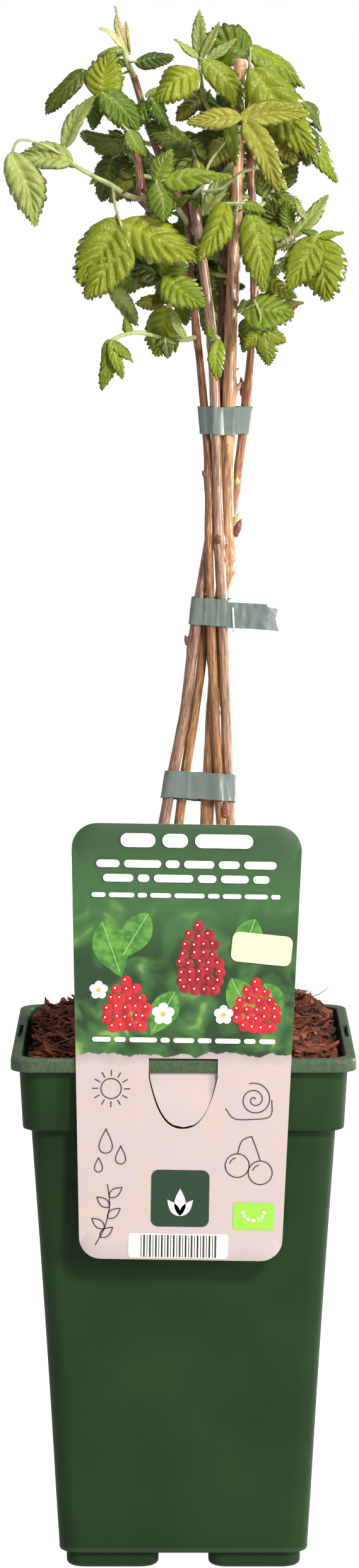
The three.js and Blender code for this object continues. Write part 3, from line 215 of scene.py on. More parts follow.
class Surface:
    """Gathers shapes in millimetres, with values for their points, and makes one mesh of them."""

    def __init__(self):
        self.points, self.faces, self.values, self.count = [], [], [], 0

    def add(self, points, faces, **values):
        """Adds a shape, or copies of it: points (..., p, 3), and faces as (corners, material slot)
        that count from each copy's first point."""
        size = points.shape[-2]
        copies = points.reshape(-1, size, 3)
        starts = self.count + size * np.arange(len(copies))[:, None, None]
        for corners, slot in faces:
            self.faces.append(((corners[None] + starts).reshape(-1, corners.shape[1]), slot))
        self.points.append(copies.reshape(-1, 3))
        self.values.append({k: np.reshape(v, (len(copies) * size, -1)) for k, v in values.items()})
        self.count += len(copies) * size

    def add_tube(self, grid, slot=0, cut_rows=0, **values):
        """Adds rings closed at both ends."""
        closed = {k: ended(np.reshape(v, grid.shape[:-1] + (-1,))) for k, v in values.items()}
        self.add(ended(grid), tube_faces(*grid.shape[-3:-1], slot, cut_rows), **closed)

    def build(self, name, materials, slot, nodes=(), crease=180.0):
        """Makes the object: smooth, but sharp where faces meet at more than the crease angle."""
        mesh = bpy.data.meshes.new(name)
        points = (np.concatenate(self.points) * MM).astype(np.float32).ravel()
        sizes, corners, slots = (np.concatenate(lists).astype(np.int32) for lists in zip(*(
            (np.full(len(c), c.shape[1]), c.ravel(), np.full(len(c), s)) for c, s in self.faces)))
        starts = np.cumsum(sizes, dtype=np.int32) - sizes
        mesh.vertices.add(len(points) // 3)
        mesh.loops.add(len(corners))
        mesh.polygons.add(len(sizes))
        for part, key, data in (
                (mesh.vertices, "co", points), (mesh.loops, "vertex_index", corners),
                (mesh.polygons, "loop_start", starts), (mesh.polygons, "material_index", slots),
                (mesh.polygons, "use_smooth", np.ones(len(sizes), bool))):
            part.foreach_set(key, data)
        mesh.update(calc_edges=True)
        for key in self.values[0]:
            data = np.concatenate([v[key] for v in self.values]).astype(np.float32)
            many = data.shape[1] == 3
            layer = mesh.attributes.new(key, "FLOAT_VECTOR" if many else "FLOAT", "POINT")
            layer.data.foreach_set("vector" if many else "value", data.ravel())
        if crease < 180.0:
            mesh.set_sharp_from_angle(angle=math.radians(crease))
        for material in materials:
            mesh.materials.append(material)
        obj = bpy.data.objects.new(name, mesh)
        bpy.context.scene.collection.objects.link(obj)
        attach(obj, "root")
        if nodes:
            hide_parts(*nodes)
        return obj


def ripple(points, size, seed, waves=7):
    """An uneven value of about -1 to 1 at each point: the sum of sine waves of about that length,
    each with a seeded heading and start, divided by the root of half their number."""
    rng = np.random.default_rng(seed)
    heading = rng.normal(size=(waves, points.shape[-1]))
    heading /= np.linalg.norm(heading, axis=1, keepdims=True)
    heading *= (2 * np.pi / size * rng.uniform(0.6, 1.6, waves))[:, None]
    return np.sin(points @ heading.T + rng.uniform(0, 2 * np.pi, waves)).sum(-1) / math.sqrt(waves / 2)


def smooth_step(x, low, high):
    """0 below low, 1 above high, and 3x² - 2x³ between them."""
    x = np.clip((x - low) / (high - low), 0, 1)
    return x * x * (3 - 2 * x)


def unit(v):
    return v / np.linalg.norm(v, axis=-1, keepdims=True)


def turned(v, axis, angle):
    """A vector turned about a unit axis: v cos + (axis × v) sin + axis (axis · v)(1 - cos)."""
    c, s = np.cos(angle), np.sin(angle)
    return v * c + np.cross(axis, v) * s + axis * np.sum(axis * v, -1, keepdims=True) * (1 - c)


# ---- paths and tubes ----

DENSE = 1500        # places on a path before it is spaced evenly


def smooth_path(points, count=DENSE):
    """Places on the centripetal Catmull-Rom curve through the points: each stretch is a cubic whose
    end slopes come from its neighbours, over spans as long as the roots of the distances."""
    p = np.asarray(points, float)
    p = np.vstack([2 * p[0] - p[1], p, 2 * p[-1] - p[-2]])
    span = np.sqrt(np.linalg.norm(np.diff(p, axis=0), axis=1))
    share = np.linspace(0, len(points) - 1, count)
    k = np.minimum(share.astype(int), len(points) - 2)
    w = (share - k)[:, None]
    d0, d1, d2 = (span[k + i][:, None] for i in range(3))
    x0, x1, x2, x3 = (p[k + i] for i in range(4))
    slope1 = ((x1 - x0) / d0 - (x2 - x0) / (d0 + d1) + (x2 - x1) / d1) * d1
    slope2 = ((x2 - x1) / d1 - (x3 - x1) / (d1 + d2) + (x3 - x2) / d2) * d1
    bow = -3 * x1 + 3 * x2 - 2 * slope1 - slope2
    return x1 + slope1 * w + bow * w ** 2 + (2 * x1 - 2 * x2 + slope1 + slope2) * w ** 3


def run_of(points):
    """How far along a line each of its points lies."""
    return np.concatenate([[0], np.cumsum(np.linalg.norm(np.diff(points, axis=0), axis=1))])


def line_at(at, run, points):
    """Places on a line, from how far along it they and its points lie."""
    return np.stack([np.interp(at, run, axis) for axis in points.T], -1)


def even_path(dense, spacing):
    """Places at even steps along a dense path, with their distance from its start and their share
    of its count."""
    run = run_of(dense)
    at = np.linspace(0, run[-1], max(3, int(run[-1] / spacing) + 2))
    return line_at(at, run, dense), at, np.interp(at, run, np.linspace(0, 1, len(dense)))


def circle_steps(count):
    return np.linspace(0, 2 * np.pi, count, endpoint=False)


def cos_sin(degrees):
    return math.cos(math.radians(degrees)), math.sin(math.radians(degrees))


def path_frames(path):
    """Side, up and heading at each place of a path. Side × up is the heading."""
    heading = unit(np.gradient(path, axis=0))
    chord = unit(path[-1] - path[0])
    reference = np.array([0.0, 1, 0] if abs(chord[1]) < 0.8 else [1.0, 0, 0])
    side = unit(np.cross(reference, heading))
    return side, np.cross(heading, side), heading


def spokes(path, sides):
    """Directions out from each place of a path: cos a · side + sin a · up at even angles a."""
    side, up, _ = path_frames(path)
    a = circle_steps(sides)[:, None]
    return np.cos(a) * side[:, None] + np.sin(a) * up[:, None]


def rings(path, radius, sides):
    """A tube: place + radius · spoke, with a radius for each ring or for each of its points."""
    radius = radius[:, None] if radius.ndim == 1 else radius
    return path[:, None] + spokes(path, sides) * radius[..., None]


def tapering(first, last, share, sides):
    """The radius of each point of a tube that goes evenly from its first to its last."""
    return (first + (last - first) * share)[:, None] * np.ones((1, sides))


# ---- driving sizes, from the frame and as in the part's source ----

def node_box(node):
    low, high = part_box(node)
    return np.array(low) / MM, np.array(high) / MM


POT_HIGH = node_box("pot")[1]
MULCH_HIGH = node_box("mulch")[1]

CLEAR = 0.3
POT_HEIGHT = POT_HIGH[2]
RIM_HALF = POT_HIGH[0]
RIM_DROP = 6
SKIRT_WALL = 1.2
COLLAR_HALF_TOP = 71.6
COLLAR_HALF_FOOT = 70.0
COLLAR_FOOT = 199.3
BODY_HALF_TOP = 66.4
BODY_HALF_FOOT = 54.9
POT_WALL = 1.4
POT_FLOOR = 2.0
FOOT_HEIGHT = 7.5
FOOT_INSET = 3.2
FOOT_CHANNEL = 22.0
CORNER_RADIUS = 8.5
SLOT_HALF = 15.5
SLOT_DEPTH = 3.6

MULCH_EDGE = 225.0
MULCH_TOP = MULCH_HIGH[2]

LABEL_TOP = 334.5
LABEL_FOOT = 144.0
LABEL_HALF_TOP = 49.5
LABEL_HALF_FOOT = 44.1
LABEL_THICK = 0.8
LABEL_LEAN = 0.88
LABEL_ROUND_TOP = 11.0
LABEL_ROUND_FOOT = 9.5
TONGUE_HALF = 14.6
TONGUE_HINGE = 233.6
TONGUE_FOOT = 202.5

TAPE_WIDTH = 12.0
GROUND = MULCH_TOP + CLEAR


def arc(centre, radius, start, end, steps=4):
    """Flat points of an arc, in degrees from outwards towards up."""
    a = np.radians(np.linspace(start, end, steps + 1))
    return list(zip(centre[0] + radius * np.cos(a), centre[1] + radius * np.sin(a)))


# ---- pot ----

SIDE_SHARES = (1.0, 0.75, 0.5, 0.25)    # places along a side between its corner and the slot
CORNER_STEPS = 10


def square_columns(slot_half):
    """Places along a side as (share of the side's flat half, offset), with the slot's edges among
    them, and whether each lies in the slot."""
    left = [(-s, -slot_half * (1 - s), False) for s in SIDE_SHARES]
    right = [(s, slot_half * (1 - s), False) for s in reversed(SIDE_SHARES[1:])]
    middle = [(0, -slot_half - 0.15, False), (0, -slot_half, True), (0, 0, True),
              (0, slot_half, True), (0, slot_half + 0.15, False)]
    share, offset, inside = zip(*(left + middle + right))
    return np.array(share), np.array(offset), np.array(inside)


def square_loft(half, z, radius, slot_half=SLOT_HALF):
    """Rounded squares (rows, columns, 3), one for each half width, height and corner radius: straight
    sides, and corners centre + radius · (cos a, sin a). Also gives which columns lie in the slot."""
    share, offset, inside = square_columns(slot_half)
    half, z, radius = (np.broadcast_to(v, np.shape(half))[:, None] for v in (half, z, radius))
    flat = half - radius
    a = np.linspace(0, np.pi / 2, CORNER_STEPS, endpoint=False)[None]
    x = np.hstack([half + 0 * share, flat + radius * np.cos(a)])
    y = np.hstack([flat * share + offset, flat + radius * np.sin(a)])
    sides = [(x, y), (-y, x), (-x, -y), (y, -x)]
    around = [np.stack([u, v, z + 0 * u], -1) for u, v in sides]
    slotted = np.tile(np.concatenate([inside, np.zeros(CORNER_STEPS, bool)]), 4)
    return np.concatenate(around, 1), slotted


def pot_profile():
    """The pot's wall as (half width, height), from under its floor, up outside, over the rim and
    down inside to the floor again."""
    skirt, top, sill = RIM_HALF - SKIRT_WALL, POT_HEIGHT, POT_HEIGHT - RIM_DROP
    inner_top, inner_foot = COLLAR_HALF_TOP - POT_WALL, COLLAR_HALF_FOOT - POT_WALL
    share = np.linspace(0, 1, 9)[1:-1]
    bow = -0.45 * np.sin(np.pi * share)
    body = zip(BODY_HALF_FOOT + (BODY_HALF_TOP - BODY_HALF_FOOT) * share + bow,
               FOOT_HEIGHT + (COLLAR_FOOT - FOOT_HEIGHT) * share)
    outside = [(25, FOOT_HEIGHT), (45, FOOT_HEIGHT)]
    outside += arc((BODY_HALF_FOOT - 1.4, FOOT_HEIGHT + 1.4), 1.4, -90, 0)
    outside += [(BODY_HALF_FOOT - 0.02, FOOT_HEIGHT + 3)] + list(body)
    outside += [(BODY_HALF_TOP - 0.1, COLLAR_FOOT - 1.2), (BODY_HALF_TOP, COLLAR_FOOT)]
    outside += arc((COLLAR_HALF_FOOT - 1, COLLAR_FOOT + 1), 1, -90, 0)
    outside += [(COLLAR_HALF_FOOT + 0.7, COLLAR_FOOT + 14), (COLLAR_HALF_TOP, top - 2.2)]
    under = [(COLLAR_HALF_TOP + 0.1, top - 1.6), (skirt, top - 1.6)]
    rim = [(skirt, sill + 0.6)] + arc((skirt + 0.6, sill + 0.6), 0.6, 180, 360)
    rim += arc((RIM_HALF - 1.5, top - 1.5), 1.5, 0, 90, 6)
    slot = [(skirt - 0.35, top), (skirt - 0.4, top), (COLLAR_HALF_TOP + 0.15, top),
            (COLLAR_HALF_TOP + 0.1, top)]
    inside = arc((inner_top + 0.9, top - 0.9), 0.9, 90, 180) + [(inner_foot, COLLAR_FOOT + POT_WALL)]
    inside += [(BODY_HALF_TOP - POT_WALL, COLLAR_FOOT), (BODY_HALF_FOOT - POT_WALL, FOOT_HEIGHT + 4)]
    inside += [(BODY_HALF_FOOT - POT_WALL - 2, FOOT_HEIGHT + POT_FLOOR), (20, FOOT_HEIGHT + POT_FLOOR)]
    first_slot = len(outside) + len(under) + len(rim)
    # worn is 1 over the rim's lip, top and rounded edges, where the grey it brings is a painted sheen
    # mixed with rubbing, and 0.4 on the foot's edge, which is rubbed.
    worn = np.zeros(first_slot + len(slot) + len(inside))
    worn[len(outside) + len(under) + 3:first_slot + len(slot) + 3] = 1
    worn[3:7] = 0.4
    return np.array(outside + under + rim + slot + inside), len(outside), first_slot, worn


def pot_shell(surface):
    """The pot, with a slot sunk into the top of each side of its rim."""
    profile, under, slot, worn = pot_profile()
    half, z = profile.T
    corner = CORNER_RADIUS + 0.9 * (half > BODY_HALF_TOP + 0.1)
    radius = np.minimum(corner, half * 0.5)
    grid, slotted = square_loft(half, z, radius)
    grid[slot + 1:slot + 3, slotted, 2] -= SLOT_DEPTH
    grid[under:under + 2, slotted, 2] -= SLOT_DEPTH - 0.8
    surface.add_tube(grid, wear=np.repeat(worn[:, None], grid.shape[1], 1))


def pot_pads(surface):
    """Four rounded square pads under the pot, with a round edge at their foot."""
    inner, outer = FOOT_CHANNEL / 2, BODY_HALF_FOOT - FOOT_INSET
    half, edge = (outer - inner) / 2, 3.0
    profile = np.array([(half * 0.5, 0.0)] + arc((half - edge, edge), edge, -90, 0, 6)
                       + [(half, FOOT_HEIGHT + 0.4), (half * 0.5, FOOT_HEIGHT + 0.4)])
    grid, _ = square_loft(profile[:, 0], profile[:, 1], np.minimum(6.0, profile[:, 0] * 0.5), 4.0)
    wear = np.zeros(grid.shape[:2])
    wear[1:6] = 0.3
    middle = (inner + outer) / 2
    for x, y in ((1, 1), (-1, 1), (-1, -1), (1, -1)):
        surface.add_tube(grid + [x * middle, y * middle, 0], wear=wear)


def moulded_polypropylene(settings):
    """Moulded polypropylene: a satin green with a painted grey sheen on the rim's top and edges, mixed
    there with rubbing, greyed where the foot's edges rub, and a few soil specks.
    """
    material, add, feed = new_material("Moulded polypropylene, green", ior=1.49, specular_ior_level=0.12)
    place = add("object place")
    scuff = add("noise", place, per_mm(2.2), 6.0, 0.7)
    base = stain(add, settings.colour, settings.light, add("noise", place, per_mm(45), 3.0), 0.3, 0.7)
    # Over the rim the grey mixed in here is a painted sheen as well as rubbing; on the foot's edges and
    # the pads it is rubbing.
    rub_and_sheen = add("range", scuff, 0.3, 0.75, 0.12, 0.42)
    base = add("mix", add("times", add("value of", attribute_name="wear"), rub_and_sheen), base, settings.worn)
    base = stain(add, base, "#2a2018", add("cells", place, per_mm(11)), 0.03, 0.06, 0.7, 0.0)
    feed(base_color=base, roughness=add("range", scuff, 0.3, 0.7, 0.36, 0.5),
         normal=add("bump", 0.5, 0.06 * MM, scuff))
    return material


# ---- mulch ----

TOUCH = 0.2                 # how far loose pieces stay off the pot's wall
BARK_LOW = MULCH_EDGE - 6   # the lowest that loose pieces reach
BED_ROWS = 34               # rings on the mound's top
CHIP_SEED, SMALL_SEED, FIBRE_SEED = 11, 12, 13

# Heaps that stand over the mound: place, height and half width.
HEAPS = ((-47, 22, 9, 15), (-44, -38, 7, 13), (56, 48, 9, 13), (41, 52, 5, 12), (-60, 42, 6, 10),
         (50, -45, 4, 14), (62, 10, 4, 12), (-63, -10, 4, 12), (0, 58, 5, 16), (20, -52, 4, 14))


def mulch_height(x, y):
    """The source's mound, low at the walls and flat in the middle, with rounded heaps on it."""
    reach = np.maximum(np.abs(x), np.abs(y)) / COLLAR_HALF_TOP
    mound = smooth_step(1 - reach, 0, 0.55)
    height = MULCH_EDGE + (MULCH_TOP - MULCH_EDGE - 4) * mound
    for hx, hy, lift, width in HEAPS:
        height = height + lift * np.exp(-((x - hx) ** 2 + (y - hy) ** 2) / width ** 2)
    return height


def mulch_bed(surface):
    """A closed block of compost: the mound's top, then down inside the pot's wall to its floor."""
    inside = POT_WALL + CLEAR
    top = np.linspace(0.03, 1, BED_ROWS) * (COLLAR_HALF_FOOT - inside)
    half = np.concatenate([top, [COLLAR_HALF_FOOT - inside, BODY_HALF_TOP - inside - 0.1,
                                 BODY_HALF_FOOT - inside, 20]])
    grid, _ = square_loft(half, 0 * half, np.minimum(CORNER_RADIUS - inside, half * 0.5), 8.0)
    flat = grid[:BED_ROWS]
    rough = ripple(flat[..., :2], 9, 3) * 0.9 + ripple(flat[..., :2], 3.5, 4) * 0.5
    flat[..., 2] = mulch_height(flat[..., 0], flat[..., 1]) - 2.4 + rough
    low = FOOT_HEIGHT + POT_FLOOR + CLEAR
    for row, z in enumerate((COLLAR_FOOT + POT_WALL + CLEAR, COLLAR_FOOT, low, low)):
        grid[BED_ROWS + row, :, 2] = z
    surface.add_tube(grid[::-1])


def frames_of(heading, tilt, roll):
    """Length, width and thickness directions of small pieces from their heading, tilt and roll."""
    along = np.stack([np.cos(heading) * np.cos(tilt), np.sin(heading) * np.cos(tilt), np.sin(tilt)], -1)
    level = unit(np.cross([0, 0, 1.0], along))
    across = turned(level, along, roll[:, None])
    return along, across, np.cross(along, across)


def scattered(count, half, rng):
    """Places in a square of that half width: a jittered grid, so that they lie evenly."""
    side = math.ceil(math.sqrt(count))
    cell = np.stack(np.meshgrid(np.arange(side), np.arange(side)), -1).reshape(-1, 2)
    place = (cell + rng.uniform(0, 1, cell.shape)) / side * 2 - 1
    return place[rng.permutation(len(place))[:count]] * half


def strew(surface, place, lift, frame, x, y, z, tone):
    """Adds small pieces at places on the mulch: middle + x along, y across and z up in their own
    frames, kept inside the pot's wall."""
    centre = np.column_stack([place, mulch_height(*place.T) + lift])
    grid = centre[:, None, None] + sum(
        v[..., None] * d[:, None, None] for v, d in zip((x, y, z), frame))
    wall = COLLAR_HALF_FOOT - POT_WALL - TOUCH
    grid[..., :2] = np.clip(grid[..., :2], -wall, wall)
    grid[..., 2] = np.maximum(grid[..., 2], BARK_LOW)
    surface.add_tube(grid, tone=np.broadcast_to(tone, grid.shape[:-1]))


def bark_chips(surface, count, seed, length, width, thick, lift, spread):
    """Flakes of bark. Each is s · length / 2 along it, bowed by s², with the section
    shape(s) · (width cos a, thick sin a), where shape(s) is (1 - s²)^0.35 made uneven."""
    rng = np.random.default_rng(seed)
    rows, cols = 6, 7
    place = scattered(count, spread, rng)
    frame = frames_of(rng.uniform(0, 2 * np.pi, count), rng.normal(0.02, 0.26, count),
                      rng.normal(0, 0.5, count))
    length, width, thick = (rng.uniform(*r, count)[:, None, None] for r in (length, width, thick))
    s = np.linspace(-0.97, 0.97, rows)[None, :, None]
    a = circle_steps(cols)
    shape = (1 - s ** 2) ** 0.35 * (1 + rng.normal(0, 0.16, (count, rows, cols)))
    x = (s / 2 + rng.normal(0, 0.07, (count, rows, cols))) * length
    bow = rng.normal(0, 0.10, (count, 1, 1)) * length
    y = shape * width / 2 * np.cos(a) + rng.normal(0, 0.12, (count, 1, 1)) * length * s ** 2
    z = shape * thick / 2 * np.sin(a) + bow * s ** 2
    strew(surface, place, lift, frame, x, y, z, rng.uniform(0, 1, (count, 1, 1)))


def bark_fibres(surface, count, spread):
    """Thin curved fibres: a bow through a middle point, in a three-sided tube."""
    rng = np.random.default_rng(FIBRE_SEED)
    place = scattered(count, spread, rng)
    frame = frames_of(rng.uniform(0, 2 * np.pi, count), rng.normal(0.1, 0.35, count),
                      rng.normal(0, 1.2, count))
    length = rng.uniform(7, 26, count)[:, None, None]
    s = np.linspace(-1, 1, 7)[None, :, None]
    a = circle_steps(3)
    radius = rng.uniform(0.22, 0.5, (count, 1, 1)) * (1.05 - s ** 2) ** 0.5
    y = length * (0.16 * s ** 2 * rng.normal(0, 1, (count, 1, 1))) + radius * np.cos(a)
    z = length * (0.08 * s ** 3 * rng.normal(0, 1, (count, 1, 1))) + radius * np.sin(a)
    strew(surface, place, 2.2, frame, s * length / 2 + 0 * a, y, z, rng.uniform(0.4, 1, (count, 1, 1)))


def bark_layers(surface, count, spread):
    """Broad flakes, and half as many small ones on top of them."""
    bark_chips(surface, count, CHIP_SEED, (5, 16), (2.4, 6), (0.8, 2.2), 0.4, spread)
    bark_chips(surface, count // 2, SMALL_SEED, (3, 8), (1.2, 3), (0.5, 1.2), 1.6, spread)


def shredded_bark(name, dark, bright):
    """Shredded pine bark: matt red-brown flakes, each of its own tone, with a grain along the wood."""
    material, add, feed = new_material(name, roughness=0.8, ior=1.4)
    place = add("object place")
    grain = add("noise", place, per_mm(1.6), 6.0, 0.75)
    base = add("mix", add("value of", attribute_name="tone"), dark, bright)
    base = stain(add, base, "#2b130c", grain, 0.35, 0.65, 0.0, 0.75)
    base = stain(add, base, "#7d4326", add("noise", place, per_mm(6), 2.0), 0.55, 0.75, 0.0, 0.5)
    feed(base_color=base, normal=add("bump", 0.9, 0.5 * MM, grain))
    return material


def compost(settings):
    """Dark moist compost under the bark: nearly black brown with coarse crumbs of 2 mm."""
    return two_toned("Moist compost", "#1d0f0a", settings.dark, 2, 5.0, (), (1.0, 0.8),
                     roughness=0.9, ior=1.35)


# ---- label ----

CARD_BACK = -RIM_HALF - CLEAR
CARD_FRONT = CARD_BACK - LABEL_THICK
PRINT_STEP = 0.07               # how far each layer of print stands in front of the one under it
LOOP_POINTS = 420
HEADER_FOOT = 298.0
PICTURE_FOOT = 234.3
TONGUE_SILL = POT_HEIGHT - RIM_DROP - 2     # height down to which the tongue's sides are straight


def rounded_outline(low, high, foot_half, top_half, foot_round, top_round):
    """A tapered upright panel (x, z) with quarter rounds at its corners, as dense points from the
    middle of its top, clockwise."""
    corners = ((top_half, high, top_round, 90), (foot_half, low, foot_round, 0),
               (-foot_half, low, foot_round, -90), (-top_half, high, top_round, 180))
    points = []
    for x, z, r, start in corners:
        centre = (x - r * np.sign(x), z - r if z == high else z + r)
        points += arc(centre, r, start, start - 90, 11)
    return np.array([(0.0, high)] + points)


def tongue_outline(half, top, foot):
    """The tongue (x, z): straight sides down to the rim's skirt, then a round point."""
    w = np.linspace(0, 1, 24)[:, None]
    a, b, c, d = (np.array(p) for p in ((half, TONGUE_SILL), (half - 4, foot + 4), (6, foot), (0, foot)))
    right = a * (1 - w) ** 3 + 3 * b * w * (1 - w) ** 2 + 3 * c * w ** 2 * (1 - w) + d * w ** 3
    left = right[::-1] * (-1, 1)
    return np.vstack([(0, top), (half, top), right, left[1:], (-half, top)])


def loop_points(outline, count=LOOP_POINTS):
    """A closed outline at even steps along its length."""
    closed = np.vstack([outline, outline[:1]])
    run = run_of(closed)
    return line_at(np.linspace(0, run[-1], count, endpoint=False), run, closed)


def upright(flat, y):
    """Points (x, z) stood up at a depth y and leaned as the label leans."""
    c, s = cos_sin(LABEL_LEAN)
    x, z = flat[..., 0], flat[..., 1] - TONGUE_HINGE
    return np.stack([x * c + z * s, np.broadcast_to(y, x.shape), z * c - x * s + TONGUE_HINGE], -1)


def label_card(surface):
    """The card: a closed sheet whose front and back run from its outline to the tongue's hole, each
    point on the straight line between the two."""
    outer = loop_points(rounded_outline(LABEL_FOOT, LABEL_TOP, LABEL_HALF_FOOT, LABEL_HALF_TOP,
                                        LABEL_ROUND_FOOT, LABEL_ROUND_TOP))
    inner = loop_points(tongue_outline(TONGUE_HALF + 0.3, TONGUE_HINGE - 1, TONGUE_FOOT - 0.8))
    share = np.linspace(0, 1, 9)[:, None, None]
    face = outer * (1 - share) + inner * share
    bevel = 0.12
    edge_out = outer + (outer.mean(0) - outer) * 0.002
    front = upright(np.vstack([edge_out[None], face[1:-1], inner[None]]), CARD_FRONT)
    back = upright(face[::-1], CARD_BACK)
    rim = upright(outer[None], CARD_FRONT + bevel)
    grid = np.concatenate([rim, front, back])
    faces = grid_faces(len(grid), LOOP_POINTS, wrap_rows=True)
    fore = len(front) * LOOP_POINTS
    surface.add(grid.reshape(-1, 3), [(faces[:fore], 0), (faces[fore:], 1)])


def label_tongue(surface):
    """The tongue: a strip bent over the rim and down behind its skirt, sprung forward below it. Its
    section runs along a smooth path in depth and height, and its width follows the cut outline."""
    front = -RIM_HALF + SKIRT_WALL + CLEAR
    middle = [(CARD_FRONT + 0.4, TONGUE_HINGE + 0.6), (CARD_FRONT + 1.2, TONGUE_HINGE + 0.5),
              (-RIM_HALF + 0.7, TONGUE_HINGE - 0.35), (front + 0.1, POT_HEIGHT + 0.2),
              (front + 0.35, POT_HEIGHT - 3), (front + 0.35, POT_HEIGHT - 6.5),
              (front - 0.7, 219), (CARD_FRONT + 0.6, 212), (CARD_FRONT + 0.45, TONGUE_FOOT)]
    path = even_path(smooth_path([(0, y, z) for y, z in middle]), 0.9)[0]
    outline = tongue_outline(TONGUE_HALF, TONGUE_HINGE, TONGUE_FOOT)
    right = outline[(outline[:, 0] >= 0) & (outline[:, 1] <= TONGUE_SILL)]
    half = np.interp(path[:, 2], right[::-1, 1], right[::-1, 0], right=TONGUE_HALF)
    half = np.maximum(np.where(path[:, 2] > TONGUE_SILL, TONGUE_HALF, half), 0.3)
    out = unit(np.cross(np.array([1.0, 0, 0]), np.gradient(path, axis=0)))
    x = np.linspace(-1, 1, 13)
    sheet = path[:, None] + half[:, None, None] * x[None, :, None] * np.array([1.0, 0, 0])
    thick = 0.35 * out[:, None]
    grid = np.concatenate([sheet + thick, (sheet - thick)[:, ::-1]], 1)
    surface.add_tube(grid)


def coated_card(settings, printed):
    """Printed polypropylene card: satin, with a header that pales downwards, a soft picture ground of
    greens to a torn edge, and a blotched pale pink panel. Only colour: nothing of it is drawn."""
    name = "Printed polypropylene card" if printed else "Plain polypropylene card"
    material, add, feed = new_material(name, roughness=0.38, ior=1.49)
    place = add("object place")
    blotch = add("noise", place, per_mm(14), 4.0)
    base = stain(add, settings.panel, settings.panel_warm, blotch, 0.35, 0.75)
    if printed:
        height = add("split", place)
        torn = add("noise", place, per_mm(7), 5.0)
        ragged = add("plus", height, add("range", torn, 0.2, 0.8, -2.2 * MM, 2.2 * MM))
        leafy = add("noise", place, per_mm(17), 2.0, 0.5, 0.8)
        head, foot = HEADER_FOOT * MM, PICTURE_FOOT * MM
        ground = stain(add, settings.picture_dark, settings.picture, leafy, 0.42, 0.6)
        ground = stain(add, ground, settings.picture_light, leafy, 0.6, 0.7, 0.0, 0.8)
        header = stain(add, settings.header_low, settings.header, height, head, LABEL_TOP * MM)
        ground = stain(add, ground, header, height, head - 22 * MM, head + 8 * MM)
        base = stain(add, base, "#6b6460", ragged, foot - 5 * MM, foot, 0.0, 0.35)
        base = stain(add, base, ground, ragged, foot - 0.15 * MM, foot + 0.15 * MM)
    feed(base_color=base)
    return material


def printer_ink(name, colour, second=None):
    """Gravure ink on coated card: satin, in one plain colour or softly blotched with a second."""
    name, finish = f"Printing ink, {name}", dict(roughness=0.36, ior=1.49)
    if second is None:
        return new_material(name, base_color=colour, **finish)[0]
    return two_toned(name, colour, second, 3, 2.0, (0.35, 0.65), **finish)


def layer_depth(layer):
    """The depth at which a layer of print starts."""
    return CARD_FRONT - PRINT_STEP * (layer - 1) - 0.01


def patch(surface, outline, layer, slot=0, dome=0.0):
    """A closed flat patch of print in an outline (x, z): rings shrink to its middle, and a dome
    rises by 1 - r² of its height."""
    share = np.array([1.0, 1.0, 0.8, 0.55, 0.25])[:, None]
    middle = outline.mean(0)
    flat = middle + (outline - middle) * share[..., None]
    lift = np.array([0.0, 1.0, 1.0, 1.0, 1.0])[:, None] * PRINT_STEP * 0.9 + dome * (1 - share ** 2)
    surface.add_tube(upright(flat, layer_depth(layer) - lift)[:, ::-1], slot)


def ribbon(surface, line, width, layer, slot=0):
    """A stroke of ink along a line (x, z): a flat four-cornered section carried along it."""
    across = unit(np.gradient(line, axis=0))[:, ::-1] * (1, -1) * width / 2
    y, step = layer_depth(layer), PRINT_STEP * 0.9
    left, right = line - across, line + across
    corners = ((left, y), (right, y), (right, y - step), (left, y - step))
    surface.add_tube(np.stack([upright(*corner) for corner in corners], 1), slot)


def disc(centre, radius, count=14):
    """Points (x, z) of a circle, clockwise from its top."""
    a = circle_steps(count)
    return centre + radius * np.stack([np.sin(a), np.cos(a)], -1)


def turned_flat(points, foot, turn):
    """Points (x, z) turned by degrees and moved to their foot."""
    c, s = cos_sin(turn)
    return foot + points @ np.array([[c, s], [-s, c]])


def bar(centre, length, height, turn=0.0, corner=0.49):
    """A rounded bar's outline (x, z), clockwise."""
    outline = rounded_outline(-height / 2, height / 2, length / 2, length / 2, height * corner,
                              height * corner)
    return turned_flat(loop_points(outline, 56), centre, turn)


def leaf_outline(foot, length, turn, wide):
    """A plain leaf's outline (x, z): half width wide · length · sin(pi t^0.8) / 2 on each side."""
    t = np.linspace(0, 1, 16, endpoint=False)
    right = np.stack([t * length, -wide * length / 2 * np.sin(np.pi * t ** 0.8)], -1)
    left = np.stack([(1 - t) * length, wide * length / 2 * np.sin(np.pi * (1 - t) ** 0.8)], -1)
    return turned_flat(np.vstack([right, left])[::-1], foot, turn)


# Rows of plain bars that stand where a label has its lines: height, bar height and bar lengths.
BAR_ROWS = ((327.4, 6.0, (15, 11, 25), 3.0), (317.2, 3.3, (10, 16, 6, 13, 9, 14), 1.9),
            (311.0, 3.3, (13, 5, 17, 8, 12, 7), 1.9), (303.6, 2.0, (6, 11, 4, 9, 13, 5, 8, 10, 4), 1.4),
            (240.6, 2.1, (8, 5, 12, 4, 9, 6, 11, 5, 7), 1.5))

# Hanging bunches of round berries on the picture: top of the bunch, length, width and ink.
BERRY_PITCH, BERRY_ROW, BERRY_SEED = 4.1, 3.9, 31
BUNCHES = ((-25, 268, 27, 23, 0), (6, 292, 33, 22, 1), (31, 268, 26, 21, 0))
PRINT_LEAVES = ((-36, 292, 26, -70, 0.6), (-16, 296, 24, -120, 0.55), (20, 268, 24, -62, 0.55),
                (30, 294, 20, -110, 0.6), (-4, 262, 22, -118, 0.55), (34, 266, 17, -60, 0.6))
BLOSSOMS = ((-9, 252, 4.6), (-37, 262, 3.8), (17, 252, 4.0))


